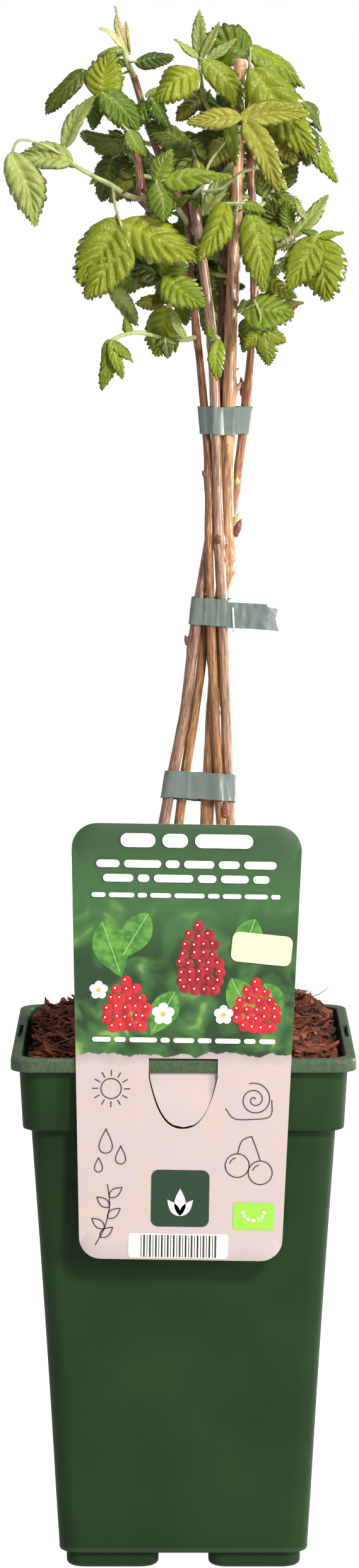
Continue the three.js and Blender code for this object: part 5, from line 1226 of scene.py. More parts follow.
# Each shoot: its name, its limb, the height that it springs from or None for the limb's tip, where its
# stem grows on to, its leaves, and any longer leaf stalks. Each leaf, as in the source: the place of
# its node, turn, toward, length of its end leaflet, width, bend and tint, and what else it has.
SHOOTS = (
    ("shoot_top_left", "cane_bent", None, ((-24.6, -3.5, 661), (-26.4, -4.4, 667)), (
      (-25.3, -4.4, 667.5, 104, 10, 19, 0.18, 6, "cream"),
      (-26.4, -5.7, 667, 138, 10, 14.5, 0.26, 10, "cream"),
      (-23.8, -2, 664.5, 95, 10, 15, 0.24, 10, "cream"), (-26.6, -6.6, 666, 170, 20, 14, 0.3, 80, "pale"),
      (-20.5, -8.8, 660.5, 16, 15, 18, 0.56, 24, "deep"))),
    ("shoot_top_middle", "cane_left", None, ((14.5, 7.5, 636.5), (9.6, 5.7, 643), (7, 2.2, 662.5)), (
      (7, 2.2, 662.5, 90, 10, 22, 0.28, 10, "pale"), (6, 0, 662.8, 138, 10, 14, 0.28, 15, "pale"),
      (8, 0, 662.6, 66, 10, 18.5, 0.22, 15, "pale"), (11, 4.4, 662.2, 40, -10, 17, 0.3, 15, "pale"),
      (6, -8.8, 656.6, 196, 35, 26.5, 0.68, 75, "lime", dict(roll=-8)),
      (9, -8.8, 661, -36, 20, 32, 0.42, 70, "lime", dict(roll=8)))),
    ("shoot_top_right", "bough_right", None, ((28.6, 0, 654), (29, -2.2, 660)), (
      (28.4, 4.4, 663, 145, -12, 27, 0.74, 36, "fresh"), (29.5, 0, 667, -27, -5, 32, 0.46, 24, "fresh"),
      (30, -13.2, 657, -50, 22, 49, 0.44, 42, "lime", dict(roll=14)),
      (53, 15, 643, -52, -2, 16, 0.6, 20, "deep"))),
    ("shoot_front_yellow", "cane_thick", 626, ((23.8, -15.4, 632), (24.2, -26.4, 636)), (
      (24, -28.6, 636, 182, 8, 24, 0.4, 20, "young", dict(roll=-20)),
      (25, -28.6, 636, 7, 8, 31, 0.36, 22, "young", dict(roll=25)),
      (27, -30.8, 634, -60, 24, 35, 0.36, 24, "young"), (18.8, -19.8, 632, -76, 6, 18.5, 0.3, 10, "fresh"),
      (38.4, -33, 613.6, -50, 4, 12, 0.42, 16, "young"))),
    ("shoot_far_right", "bough_right", 616, ((36, 4.4, 625), (42, 4.4, 631), (55, 0, 632)), (
      (55, 0, 630.6, -56, 6, 27, 0.36, 22, "fresh"), (54.6, -8.8, 631.6, -94, 10, 17.5, 0.64, 20, "deep"),
      (41.4, -11, 631.4, -62, 14, 18, 0.86, 26, "olive"))),
    ("shoot_upper_left", "bough_left", None, ((-29, -4.4, 638), (-36, -8.8, 644.6)), (
      (-35.4, -11, 645, 82, 12, 22, 0.74, 30, "lime"), (-35, -15.4, 647, -36, 20, 24, 0.66, 34, "mid"),
      (-43.6, -6.6, 656.6, -142, 6, 27, 0.4, 34, "deep"), (-37.5, -11, 645.6, -99, 10, 16, 0.5, 16, "mid"),
      (-23.6, -19.8, 630, -50, 12, 14, 0.64, 20, "mid")), (
      ((-36, -8.8, 644.6), (-40, -7.5, 652), (-44, -6.6, 656.8)),
      ((-36, -11, 644), (-30, -17.6, 637), (-23.8, -19.8, 630.4)))),
    ("shoot_big_left", "bough_left", 601,
     ((-26, -11, 603.5), (-31, -13.2, 607), (-40, -15.4, 611.5), (-47.5, -15.4, 616), (-52, -14.3, 624)),
     (
      (-52, -14.3, 624, 62, 6, 27, 0.3, 20, "pale"), (-49, -17.6, 617.5, 166, 6, 25, 0.6, 30, "pale"),
      (-74.4, -22, 620.6, -70, 4, 34, 0.44, 10, "pale"), (-27.8, -22, 592, -127, 26, 35, 0.62, 20, "lime"),
      (-26.6, -24.2, 591, -18, 22, 41, 0.5, 22, "lime", dict(roll=10)),
      (-24, -28.6, 581, -135, 22, 31, 0.62, 25, "lime"),
      (-31.5, 4.4, 564, -64, -4, 23, 0.62, 15, "pale", dict(roll=150))), (
      ((-49, -17.6, 617.5), (-62, -20.9, 625), (-71.5, -22, 626.2), (-74.8, -22, 619.8)),
      ((-31, -13.2, 606), (-29.6, -19.8, 598), (-27.4, -24.2, 591), (-23.6, -28.6, 580.4)),
      ((-28.2, -19.8, 594), (-33, -4.4, 582), (-31.5, 4.4, 566)))),
    ("shoot_middle", "cane_bent", 590, ((-4, -15.4, 599), (-11.6, -26.4, 608.8)), (
      (-12, -26.4, 609, 67, 8, 16.5, 0.68, 20, "mid"), (-8, -27.7, 609.4, 11, 22, 31, 0.5, 20, "fresh"),
      (-11.6, -28.6, 607.6, -77, 20, 18, 0.7, 20, "mid"))),
    ("shoot_left_dark", "bough_left", 616, ((-22.5, 13.2, 620), (-27, 26.4, 623)), (
      (-27, 26.4, 623, 150, -12, 18, 0.64, 30, "deep", dict(three=True, back=True)),
      (-31.5, 24.2, 619, -108, 4, 21, 0.62, 20, "deep"), (-20, 19.8, 619, -168, 4, 13, 0.52, 20, "deep"),
     )),
    ("shoot_centre_left", "cane_bent", 564, ((-3, -13.2, 567), (-9.5, -19.8, 567.5)), (
      (-9.5, -19.8, 568, 152, 4, 18, 0.86, 20, "deep"), (-9, -21.1, 568.2, 64, 10, 17, 0.86, 20, "fresh"),
      (-8, -24.2, 567.4, -27, 26, 23, 0.76, 30, "fresh"),
      (-7.6, -19.8, 558.6, -176, 6, 15, 0.56, 20, "olive"), (-7.6, -9, 554, -102, 12, 23, 0.7, 12, "lime"),
     )),
    ("shoot_long_left", "cane_bent", 541,
     ((1, -6.6, 540), (-8, -11, 540.4), (-18.7, -15.4, 543.2), (-27, -17.6, 542), (-32, -18.9, 539.6)), (
      (-32.6, -18.9, 539.6, -99, 10, 23, 0.32, 14, "lime"),
      (-31.6, -20.7, 539, -70, 14, 18, 0.34, 16, "fresh"),
      (-31, -19.8, 539.4, -38, 12, 14, 0.42, 20, "fresh"),
      (-8, -13.2, 540, -80, 30, 8, 0.64, 20, "deep", dict(three=True)),
      (0.4, -11, 541.4, 118, 4, 15, 0.36, 8, "pale"))),
    ("shoot_right_of_stick", "cane_thick", 592, ((22.8, -17.6, 597), (23, -28.6, 599.4)), (
      (18.2, -29.9, 599.4, -119, 22, 29, 0.46, 22, "lime"),
      (26.4, -28.6, 599.4, -8, 16, 11, 0.6, 44, "fresh"),
      (29.2, -28.6, 595, -79, 16, 36, 0.44, 14, "lime"))),
    ("shoot_right", "bough_right", 568, ((35, 2.2, 573), (40, 0, 579.4), (48.2, -2.2, 585)), (
      (48.2, -2.2, 585, 52, 0, 25, 0.28, 10, "pale"), (54, -2.2, 592.6, 120, 4, 11, 0.32, 10, "pale"),
      (44, -8.8, 586, 158, 14, 18, 0.6, 26, "fresh"),
      (43, 8.8, 587, 110, -6, 18, 0.64, 30, "deep", dict(back=True)),
      (46, 2.2, 589, 94, 8, 13, 0.6, 24, "fresh"), (59.6, -17.6, 585.4, 14, 8, 11.5, 0.46, 20, "fresh"),
      (58, -15.4, 586, 160, 8, 8, 0.6, 24, "mid"), (58, -17.6, 584.4, -122, 16, 27, 0.58, 18, "lime"),
      (57.8, -17.6, 584.6, -79, 10, 29.5, 0.7, 18, "lime"), (37, 11, 566.4, -27, 4, 17, 0.62, 16, "lime"),
     ), (
      ((40, 0, 579), (50, -13.2, 582.6), (59.2, -17.6, 585.2)),)),
    ("shoot_right_low", "bough_right", 550, ((32, -13.2, 555), (31, -19.8, 556.6)), (
      (27, -21.1, 553.6, 4, 22, 23, 0.86, 30, "fresh"),
      (35, -26.4, 544.4, -80, 18, 14, 0.64, 35, "lime", dict(three=True, small=0.9, spread=60)),
      (28, -8.8, 548.6, -98, 6, 15.5, 0.56, 16, "deep")), (
      ((31, -19.8, 556.6), (33.4, -26.4, 551), (33, -26.4, 543.8)),)),
    ("shoot_low_front", "cane_pale", 539, ((14, -17.6, 541.6), (15.6, -19.8, 540.6)), (
      (15.2, -19.8, 539.6, -92, 8, 18.5, 0.38, 10, "fresh"),)),
    ("shoot_pale_middle", "cane_pale", None, ((5, -10.1, 603), (8, -13.2, 606)), (
      (8.4, -14.1, 594.8, 62, 4, 27, 0.3, 8, "pale"), (7.6, -11, 607, 100, 4, 14, 0.62, 24, "olive"),
      (4, -6.6, 622, 141, 10, 25, 0.62, 22, "deep"), (18.6, -11.9, 626.4, -127, 8, 15, 0.8, 20, "olive"),
      (33, -17.6, 614.4, 8, 4, 14, 0.3, 8, "fresh")), (
      ((8, -13.2, 606), (8.6, -14.1, 600), (8.4, -14.1, 594)),
      ((8, -13.2, 605), (7, -11, 614), (4, -6.6, 622.4)),
      ((8, -13.2, 605.4), (11, -12.3, 616), (18.4, -11.9, 626)),
      ((8, -13.2, 604.6), (17, -18.7, 606), (24.5, -19.8, 612.4), (33, -17.6, 614.6)))),
    ("shoot_inner", "cane_left", 590, ((15, 19.8, 594), (11, 24.2, 592)), (
      (13.4, 21.1, 591, -88, 2, 24, 0.5, 10, "deep"), (10, 24.2, 592, -6, -12, 18, 0.6, 16, "deep"),
      (9, 24.2, 593, 128, -6, 21, 0.6, 20, "mid"), (8, 24.2, 590, -152, -4, 21, 0.6, 20, "deep"))),
    ("shoot_inner_low", "cane_left", 560, ((15, 19.8, 564), (13, 22, 562)), (
      (-0.8, 18, 555, -76, 0, 11, 0.66, 14, "lime"), (13.6, 22, 561, -93, 2, 24, 0.5, 10, "deep"),
      (12, 24.2, 563, -172, -6, 15, 0.6, 16, "mid"), (14, 24.2, 563, 4, -6, 15, 0.66, 16, "deep"))),
)

# Twigs of the crown's full middle, which stand behind the canes.
INNER_SHOOTS = (
    ("twig_top", "cane_left", 624, ((20, 12, 632), (18, 13, 640)), (
      (17, 13, 640, 62, 0, 16, 0.68, 24, "deep"), (18, 13, 639, 2, -6, 18, 0.6, 20, "deep"),
      (14, 11, 640, 128, 0, 14, 0.6, 20, "mid"), (8, 10, 646, 214, 6, 17, 0.6, 30, "olive"))),
    ("twig_middle", "cane_left", 584, ((17, 12, 585), (14, 14, 586)), (
      (14, 14, 585, -88, 2, 25, 0.5, 10, "deep"), (15, 15, 586, -58, -4, 19, 0.55, 16, "mid"),
      (10, 14, 588, 168, 0, 18, 0.6, 20, "deep"))),
    ("twig_right", "bough_right", 596, ((36, 8, 600), (40, 10, 606)), (
      (40, 10, 606, 60, 0, 18, 0.62, 24, "deep"), (39, 10, 604, -20, -4, 17, 0.6, 20, "mid"),
      (37, 9, 603, 118, 0, 16, 0.6, 24, "deep"))),
    ("twig_tip", "cane_bent", 628, ((-15, -6, 634), (-15, -10, 644)), (
      (-15, -10, 643, -128, 16, 15, 0.6, 30, "mid"), (-14, -10, 645, -52, 20, 16, 0.6, 34, "mid"),
      (-16, -8, 646, 32, 0, 13, 0.3, 30, "pale"))),
    ("twig_left", "cane_bent", 604, ((-10, 12, 612), (-13, 15, 616)), (
      (-13, 15, 616, 128, -6, 18, 0.62, 24, "deep"), (-12, 15, 614, 200, -4, 18, 0.6, 20, "mid"),
      (-10, 13, 615, 60, 0, 17, 0.6, 24, "mid"))),
)

GREEN_TIP = (630, 638, 646, 653)        # heights over which the bent cane's tip is still green
TRIES = (0, -2.5, 2.5, -5, 5, -8, 8, 13, 18)
FRONT_SHOOTS = [row[0] for row in SHOOTS]
JOIN = 1.2                  # leaves nearer to their stem than this need no stalk
CROWN_SEED = 23

# Stems and stalks: the radius at the foot and the tip, and the sides.
STEM, GREEN_CANE = (1.2, 0.8, 8), (1.8, 1.2, 8)
BRANCH, STALK, END_STALK = (0.62, 0.55, 6), (0.6, 0.45, 6), (0.55, 0.4, 6)

LEAF_WIDE = 0.64
LEAF_FOLD = 14.0
LEAF_VALUES = ("turn", "toward", "size", "wide", "bend", "tint")
# Leaflets longer than the first number have this many rows, places across and rows to a tooth.
LEAF_GRIDS = ((16.5, 77, 11, 6), (10, 45, 9, 4), (0, 25, 7, 4))
SIDE_VEINS = 8
TINTS = ("lime", "fresh", "mid", "deep", "olive", "young", "cream", "pale")
FOLDS = {"young": 30.0, "cream": 46.0, "pale": 26.0}       # leaves of these tints are still partly folded
BROWNED = {"olive": 1.0, "deep": 0.6, "mid": 0.3, "lime": 0.3}      # how far margins are browned

BACK_SHOOTS = 7
BACK_SEED = 1907
BACK_LEAVES = 2
BACK_LIMBS = ("cane_thick", "bough_right", "cane_left", "cane_bent")
BACK_LOW, BACK_HIGH = 564, 630
BACK_FAN = (134, 66)        # bearings of the first and the last, in degrees from the right to the back
BACK_TINTS = ("deep", "mid", "mid", "fresh", "olive")

SPURS = 24
SPUR_SEED = 5
SPUR_LOW, SPUR_HIGH = 552, 640
SPUR_TINTS = ("deep", "deep", "mid", "mid", "olive")


def seeded(state):
    """The source's run of even values: state · 16807 modulo 2147483647, over 2147483647."""
    modulus = 2147483647
    while True:
        state = state * 16807 % modulus
        yield state / modulus


def back_shoots():
    """Shoots of the side away from the front: from limbs at set heights, fanned round the back."""
    draw = seeded(BACK_SEED)
    shoots = []
    for i in range(BACK_SHOOTS):
        limb = BACK_LIMBS[i % len(BACK_LIMBS)]
        height = BACK_LOW + (BACK_HIGH - BACK_LOW) * i / (BACK_SHOOTS - 1)
        start = limb_at(limb, height)[0]
        fan = BACK_FAN[0] + (BACK_FAN[1] - BACK_FAN[0]) * ((i * 3) % BACK_SHOOTS) / (BACK_SHOOTS - 1)
        heading = math.radians(fan)
        out = np.array([math.cos(heading), math.sin(heading), 0.2 + 0.2 * next(draw)])
        reach = 38 + 14 * next(draw)
        leaves = []
        for k in range(BACK_LEAVES):
            hand = 0 if k == BACK_LEAVES - 1 else 0.8 - 1.6 * math.floor(next(draw) + 0.5)
            depth = math.degrees(math.asin(math.sin(heading + hand)))
            right = math.cos(heading + hand) > 0
            turn = -20 - 30 * next(draw) if right else 200 + 30 * next(draw)
            toward = -float(np.clip(depth * 0.8, -10, 62))
            size, spread, bend = 18 + 9 * next(draw), 62 + 12 * next(draw), 26 + 20 * next(draw)
            tint = BACK_TINTS[int(next(draw) * len(BACK_TINTS))]
            at = start + out * reach * (0.66 + 0.34 * k / (BACK_LEAVES - 1))
            more = dict(three=True, spread=spread, back=True)
            leaves.append((*at, turn, toward, size, LEAF_WIDE, bend, tint, more))
        stem = [start + out * part * reach for part in (0.4, 0.7, 1.0)]
        shoots.append((f"shoot_back_{i + 1}", limb, height, stem, leaves))
    return shoots


def spurs():
    """Short leafy spurs that fill the crown between the shoots, fanned round the limbs by the same
    rule: a spur's length out from the limb, then one leaf of three that hangs away from the middle."""
    rng = np.random.default_rng(SPUR_SEED)
    shoots = []
    for i in range(SPURS):
        limb = BACK_LIMBS[i % len(BACK_LIMBS)]
        height = SPUR_LOW + (SPUR_HIGH - SPUR_LOW) * ((i * 5) % SPURS) / (SPURS - 1)
        start = limb_at(limb, height)[0]
        c, s = cos_sin(-15 + 210 * ((i * 7) % SPURS) / (SPURS - 1))
        out = np.array([c, s, 0.15])
        end = start + out * rng.uniform(12, 26) * (0.6 + 0.5 * max(s, 0))
        turn = rng.uniform(-50, 30) if c > 0 else 180 + rng.uniform(-30, 50)
        toward = -math.degrees(math.asin(s * 0.9))
        size, bend = rng.uniform(13, 19), rng.uniform(20, 45)
        tint = SPUR_TINTS[int(rng.integers(len(SPUR_TINTS)))]
        leaf = (*end, turn, toward, size, LEAF_WIDE, bend, tint, dict(three=True, back=s > 0.3))
        shoots.append((f"spur_{i + 1}", limb, height, [start * 0.4 + end * 0.6, end], [leaf]))
    return shoots


def leaf_frame(turn, toward, roll, back):
    """A leaf's length, upper face and side: turn is its heading seen from the front, toward swings
    it to the front, and roll turns its face about its length."""
    (c, s), (level, ahead) = cos_sin(turn), cos_sin(toward)
    along = np.array([c * level, -ahead, s * level])
    facing = np.array([0, 0.75 if back else -0.75, 0.66])
    up = turned(unit(facing - along * (facing @ along)), along, math.radians(roll))
    return along, up, np.cross(along, up)


def blades_of(node, leaf):
    """The leaflets of a leaf as (foot, frame, length), and the stalk of its end leaflet."""
    frame = leaf_frame(leaf["turn"], leaf["toward"], leaf.get("roll", 0), leaf.get("back"))
    along, up, side = frame
    if not leaf.get("three"):
        return [(node - along, frame, leaf["size"])], None
    end = node + along * leaf["size"] * 0.2
    blades = [(end - along, frame, leaf["size"])]
    for hand in (-1, 1):
        angle = math.radians(hand * leaf.get("spread", 68))
        aside = (turned(along, up, angle), up, turned(side, up, angle))
        blades.append((node - aside[0], aside, leaf["size"] * leaf.get("small", 0.78)))
    return blades, np.array([node - along, end])


def midrib(foot, frame, length, bend, a):
    """Places on a leaflet's midrib at shares a: an arc that bends down by `bend` along its length.
    Gives also the arc's own upward direction."""
    along, up, _ = frame
    bow = max(math.radians(bend), 0.02)
    turn = (bow * a)[..., None]
    place = foot + along * length * np.sin(turn) / bow - up * length * (1 - np.cos(turn)) / bow
    return place, up * np.cos(turn) + along * np.sin(turn)


def widest_at(t):
    """A leaflet's half width over its greatest one: t^0.6 (1 - t)^0.95, scaled to 1."""
    return t ** 0.6 * (1 - t) ** 0.95 / (0.387 ** 0.6 * 0.613 ** 0.95)


def leaflet(foot, frame, length, wide, bend, rng, fold):
    """One leaflet as rings: its upper face from left to right and its lower face back again. Rows run
    out along the side veins, from share t of the midrib to margin t + 0.26 sin(pi t), at share
    t + (margin - t)|u|^1.3. Halves rise by the fold, the blade swells between veins by
    |sin(8 pi t)|^0.7, and the margin is waved and drawn out in forward teeth."""
    rows, cols, pitch = next(row[1:] for row in LEAF_GRIDS if length > row[0])
    t = np.linspace(0.004, 0.992, rows)[:, None]
    u = np.linspace(-1, 1, cols)[None]
    edge, hand = np.abs(u), np.sign(u)
    lean = rng.uniform(-1, 1)
    swell = np.sin(np.pi * t) ** 0.5
    margin = np.minimum(t + 0.26 * np.sin(np.pi * t), 0.996)
    a = t + (margin - t) * edge ** 1.3
    half = 0.5 * wide * length * widest_at(margin)
    k = np.arange(rows)[:, None]
    uneven = rng.uniform(-0.3, 0.3, (rows // pitch + 1, 2))[k[:, 0] // pitch][:, (u[0] > 0) * 1]
    lobe = 0.6 + 0.6 * (k // pitch % 2) + uneven
    tooth = np.sin(np.pi * (k % pitch) / pitch) ** 0.7 * lobe * swell * edge ** 6
    across = u * half * (1 + 0.05 * np.sin(7 * t + lean * 9) * edge) + hand * 0.05 * wide * length * tooth
    a = np.minimum(a + 0.055 * wide * tooth, 1.0)
    fold *= rng.uniform(0.8, 1.3) if fold > LEAF_FOLD else rng.uniform(-1.1, 1.3)
    fold = math.tan(math.radians(fold))
    phase, pull = rng.uniform(0, 2 * np.pi, 2)
    ease = np.minimum(1, edge * 3) * (1 - 0.8 * edge ** 6)
    vein_at = np.sin(SIDE_VEINS * np.pi * (t + 0.014 * np.sin(3 * np.pi * t + 2 * hand + 3 * lean)))
    pleat = 0.1 * min(wide, LEAF_WIDE) * length * (np.abs(vein_at) ** 0.7 - 0.5) * ease * swell
    groove = -0.014 * length * np.exp(-(edge * half / (0.022 * length)) ** 2)
    curl = -0.5 * fold * half * edge ** 3 - rng.uniform(0.1, 0.5) * half * edge ** 4
    wave = 0.035 * length * np.sin(2 * np.pi * (1.5 * t + 0.3 * hand) + phase) * edge ** 2
    lift = np.abs(across) * fold + pleat + groove + curl + wave * np.sin(np.pi * t)
    twist = (rng.normal(0, 0.3) * a + 0.08 * np.sin(2 * np.pi * a + pull))[..., None]
    place, up = midrib(foot, frame, length, bend, a)
    place = place + frame[2] * (0.07 * lean * length * np.sin(np.pi * a) ** 2)[..., None]
    side = frame[2] * np.cos(twist) + up * np.sin(twist)
    up = up * np.cos(twist) - frame[2] * np.sin(twist)
    middle = place + side * across[..., None] + up * lift[..., None]
    thick = 0.13 * (1 - edge ** 8) + 0.35 * np.exp(-(edge * half / 0.5) ** 2) * (1 - t) ** 0.5
    upper = middle + up * 0.06 * (1 - edge ** 8)[..., None]
    lower = (middle - up * thick[..., None])[:, ::-1]
    rib = np.exp(-(np.abs(across) / (0.012 * length + 0.12)) ** 2)
    veins = (1 - np.abs(vein_at)) ** 3 * (1 - edge ** 4) * 0.8
    offset = rng.uniform(-900, 900, 3)
    flat = np.stack(np.broadcast_arrays(a * length, across, 0 * a), -1) + offset
    values = dict(leaf_place=flat, leaf_vein=np.maximum(rib, veins), leaf_rim=edge ** 5 + 0 * a,
                  leaf_shade=np.full(a.shape, rng.uniform(0, 1)))
    values = {k: np.concatenate([v, v[:, ::-1][:, 1:-1]], 1) for k, v in values.items()}
    around = 2 * cols - 2
    quads = grid_faces(rows, around).reshape(rows - 1, around, 4)
    faces = [(quads[:, :cols - 1].reshape(-1, 4), 0), (quads[:, cols - 1:].reshape(-1, 4), 1)]
    faces += [(corners, 1) for corners, _ in tube_faces(rows, around)[2:]]
    grid = np.concatenate([upper, lower[:, 1:-1]], 1)
    return ended(grid), faces, {k: ended(v if v.ndim == 3 else v[..., None]) for k, v in values.items()}


def solid_of(node):
    """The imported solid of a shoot, for finding how far a point is from its faces, or None for a spur."""
    if node not in frame["nodes"]:
        return None
    mesh = frame["nodes"][node].data
    return BVHTree.FromPolygons([v.co for v in mesh.vertices], [p.vertices for p in mesh.polygons])


def off_solid(tree, node, leaf):
    """The mean distance in millimetres from a leaf's midribs to its shoot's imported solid."""
    shares = np.array([0.35, 0.55, 0.75, 0.9])
    places = [midrib(*blade, leaf["bend"], shares)[0] for blade in blades_of(node, leaf)[0]]
    near = [tree.find_nearest((place * MM).tolist())[3] for place in np.concatenate(places)]
    return float(np.mean(near)) / MM


def nearest(samples, point):
    return samples[np.argmin(np.linalg.norm(samples - point, axis=1))]


def rooted(samples, points):
    """A stalk's points, with its foot moved onto the stem and sunk a little into it."""
    first, *rest = (np.array(p, float) for p in points)
    start = nearest(samples, first)
    return [start - unit(rest[0] - start)] + rest


class Crown:
    """All that grows on the limbs: stems and stalks in one surface, leaves in one for each tint."""

    def __init__(self, tints):
        self.stems = Surface()
        self.leaves = {tint: Surface() for tint in tints}
        self.rng = np.random.default_rng(CROWN_SEED)

    def add_stem(self, points, first, last, sides):
        """Adds a tube through the points, its radius evenly tapered and uneven by a twentieth, and
        gives its path."""
        path, run, share = even_path(smooth_path(points, 300), 0.9)
        a = circle_steps(sides)
        place = np.stack(np.broadcast_arrays(np.cos(a), np.sin(a), run[:, None] * 0.12), -1)
        rough = 1 + 0.05 * ripple(place * 2 + self.rng.uniform(0, 99), 2.0, 5)
        radius = tapering(first, last, share, sides) * rough
        self.stems.add_tube(rings(path, radius, sides), stem_age=np.repeat(share[:, None], sides, 1))
        return path

    def add_leaf(self, node, leaf):
        """A leaf's leaflets, each a little different, and its end leaflet's stalk."""
        blades, stalk = blades_of(node, leaf)
        tint = leaf["tint"]
        for blade in blades:
            points, faces, values = leaflet(*blade, leaf["wide"], leaf["bend"], self.rng,
                                            FOLDS.get(tint, LEAF_FOLD))
            values["leaf_rim"] *= BROWNED.get(tint, 0.15)
            self.leaves[tint].add(points, faces, **values)
        if stalk is not None:
            self.add_stem(stalk, *END_STALK)

    def add_small_leaves(self, path, tint, front):
        """Small young leaves where leaf stalks leave a stem, as its unopened side shoots show."""
        along = np.gradient(path, axis=0)
        for share in (0.3, 0.55, 0.8):
            k = int(share * (len(path) - 1))
            heading = unit(along[k] + self.rng.normal(0, 0.5, 3) * np.linalg.norm(along[k]))
            turn = math.degrees(math.atan2(heading[2], heading[0])) + self.rng.choice([-1, 1]) * 48
            toward = math.degrees(math.asin(-heading[1]))
            leaf = dict(turn=turn, toward=toward, wide=0.46, bend=30, size=self.rng.uniform(5, 9),
                        tint=tint, back=not front, roll=self.rng.normal(0, 25))
            self.add_leaf(path[k], leaf)

    def add_shoot(self, name, limb, height, stem, leaves, stalks=()):
        """A shoot by the source's rule: its stem, its stalks, and its leaves, each at the shift along
        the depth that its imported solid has."""
        tree = solid_of(name)
        if height is None:
            curve = limb_curve(limb)
            points = [curve[-1] - unit(curve[-1] - curve[-4]) * 2, curve[-1]]
        else:
            points = [limb_at(limb, height)[0]]
        path = self.add_stem([*points, *stem], *STEM)
        samples = path[len(path) // 4:]
        for stalk in stalks:
            samples = np.vstack([samples, self.add_stem(rooted(samples, stalk), *BRANCH)])
        front = name in FRONT_SHOOTS
        self.add_small_leaves(path, "fresh" if front else "mid", front)
        for x, y, z, *values in leaves:
            leaf = dict(zip(LEAF_VALUES, values))
            leaf.update(*values[len(LEAF_VALUES):])
            node = np.array([x, y, z], float)
            if tree:
                tries = [node + [0, shift, 0] for shift in TRIES]
                off = [off_solid(tree, place, leaf) for place in tries]
                node = tries[int(np.argmin(off))]
            self.add_leaf(node, leaf)
            near = nearest(samples, node)
            if np.linalg.norm(near - node) > JOIN:
                self.add_stem([near - unit(node - near), node], *STALK)


def leaf_blade(name, colour, under):
    """Raspberry leaf: soft satin blade, paler along its veins, blotched by age, with a fine net of
    veins 1 mm apart raised between them and browned tips of teeth. Light comes through it a little.
    Its underside is a pale grey-green felt."""
    material, add, feed = new_material(name, roughness=0.7 if under else 0.36, ior=1.45,
                                       specular_ior_level=0.3 if under else 0.42,
                                       sheen_weight=0.2 if under else 0.0)
    place = add("vector of", attribute_name="leaf_place")
    vein, rim, shade = (add("value of", attribute_name=f"leaf_{key}") for key in ("vein", "rim", "shade"))
    net = add("cells", place, 1.0)
    worn = add("times", rim, add("range", add("noise", place, 1 / 1.6, 3.0), 0.35, 0.6, 0.2, 1.6))
    if under:
        base = (colour + Color(linear("#9aa560"))) / 2
    else:
        base = stain(add, colour, "#1f3a06", shade, 0.0, 1.0, 0.0, 0.4)
        base = stain(add, base, "#c9c94a", shade, 0.0, 1.0, 0.16, 0.0)
    for layer in (("#3a5212", add("noise", place, 1 / 7.0, 4.0), 0.35, 0.65, 0.25, 0.0),
                  ("#c3c84a", vein, 0.2, 0.9, 0.0, 0.2), ("#c8cc50", net, 0.3, 0.9, 0.0, 0.05),
                  ("#6d4424", worn, 0.25, 0.9, 0.0, 0.85)):
        base = stain(add, base, *layer)
    crumple = add("plus", add("times", net, 0.3), add("noise", place, 1 / 3.6, 3.0))
    feed(base_color=base, normal=add("bump", 0.7, 0.8 * MM, crumple))
    tree = material.node_tree
    both = add("blend", 0.22, node_of(tree, "BSDF_PRINCIPLED").outputs[0], add("through", base))
    fill_sockets(tree, node_of(tree, "OUTPUT_MATERIAL"), {"Surface": both})
    return material


def green_stem(settings):
    """Green raspberry shoot: pale fuzzy skin, reddened in streaks towards its foot."""
    material, add, feed = new_material("Green shoot skin", roughness=0.6, ior=1.45, sheen_weight=0.4)
    streak = add("noise", add("object place"), per_mm(3), 4.0)
    base = stain(add, settings.stem, settings.stem_dark, streak, 0.4, 0.65)
    base = stain(add, base, "#9a6a4a", add("value of", attribute_name="stem_age"), 0.0, 0.25, 0.45, 0.0)
    feed(base_color=base, normal=add("bump", 0.6, 0.15 * MM, streak))
    return material


# ---- stage ----

CAMERA_PLACE = (-0.00172, -2.182, 0.5994)
CAMERA_PITCH = 83.298
CAMERA_LENS = 113.50
FLOOR_SHARE = 0.27          # share of the floor's glow that lights the plant
FLOOR_SIZE = 60
IMAGE_HIGH = 36.0           # sensor height in millimetres, which the image's own height fills

# Area lights: name, place, what it looks at, size in metres, power and colour.
LIGHTS = (
    ("key", (1.1, -2.1, 1.95), (0, 0, 0.45), 0.5, 90, "#fffaf4"),
    ("side", (1.7, -1.15, 0.6), (0, 0, 0.4), 0.45, 28, "#fffdfa"),
    ("fill", (-1.9, -1.8, 1.2), (0, 0, 0.4), 1.6, 6, "#f8faff"),
    ("top", (0.1, 0.1, 2.6), (0, 0, 0.4), 1.2, 26, "#ffffff"),
    ("edge_right", (1.5, 1.15, 0.5), (0, 0, 0.4), 0.5, 46, "#ffffff"),
    ("edge_left", (-1.8, 0.8, 1.0), (0, 0, 0.4), 0.8, 4, "#ffffff"),
)


def linked(name, data):
    """A lamp or camera that is in the scene."""
    obj = bpy.data.objects.new(name, data)
    bpy.context.scene.collection.objects.link(obj)
    return obj


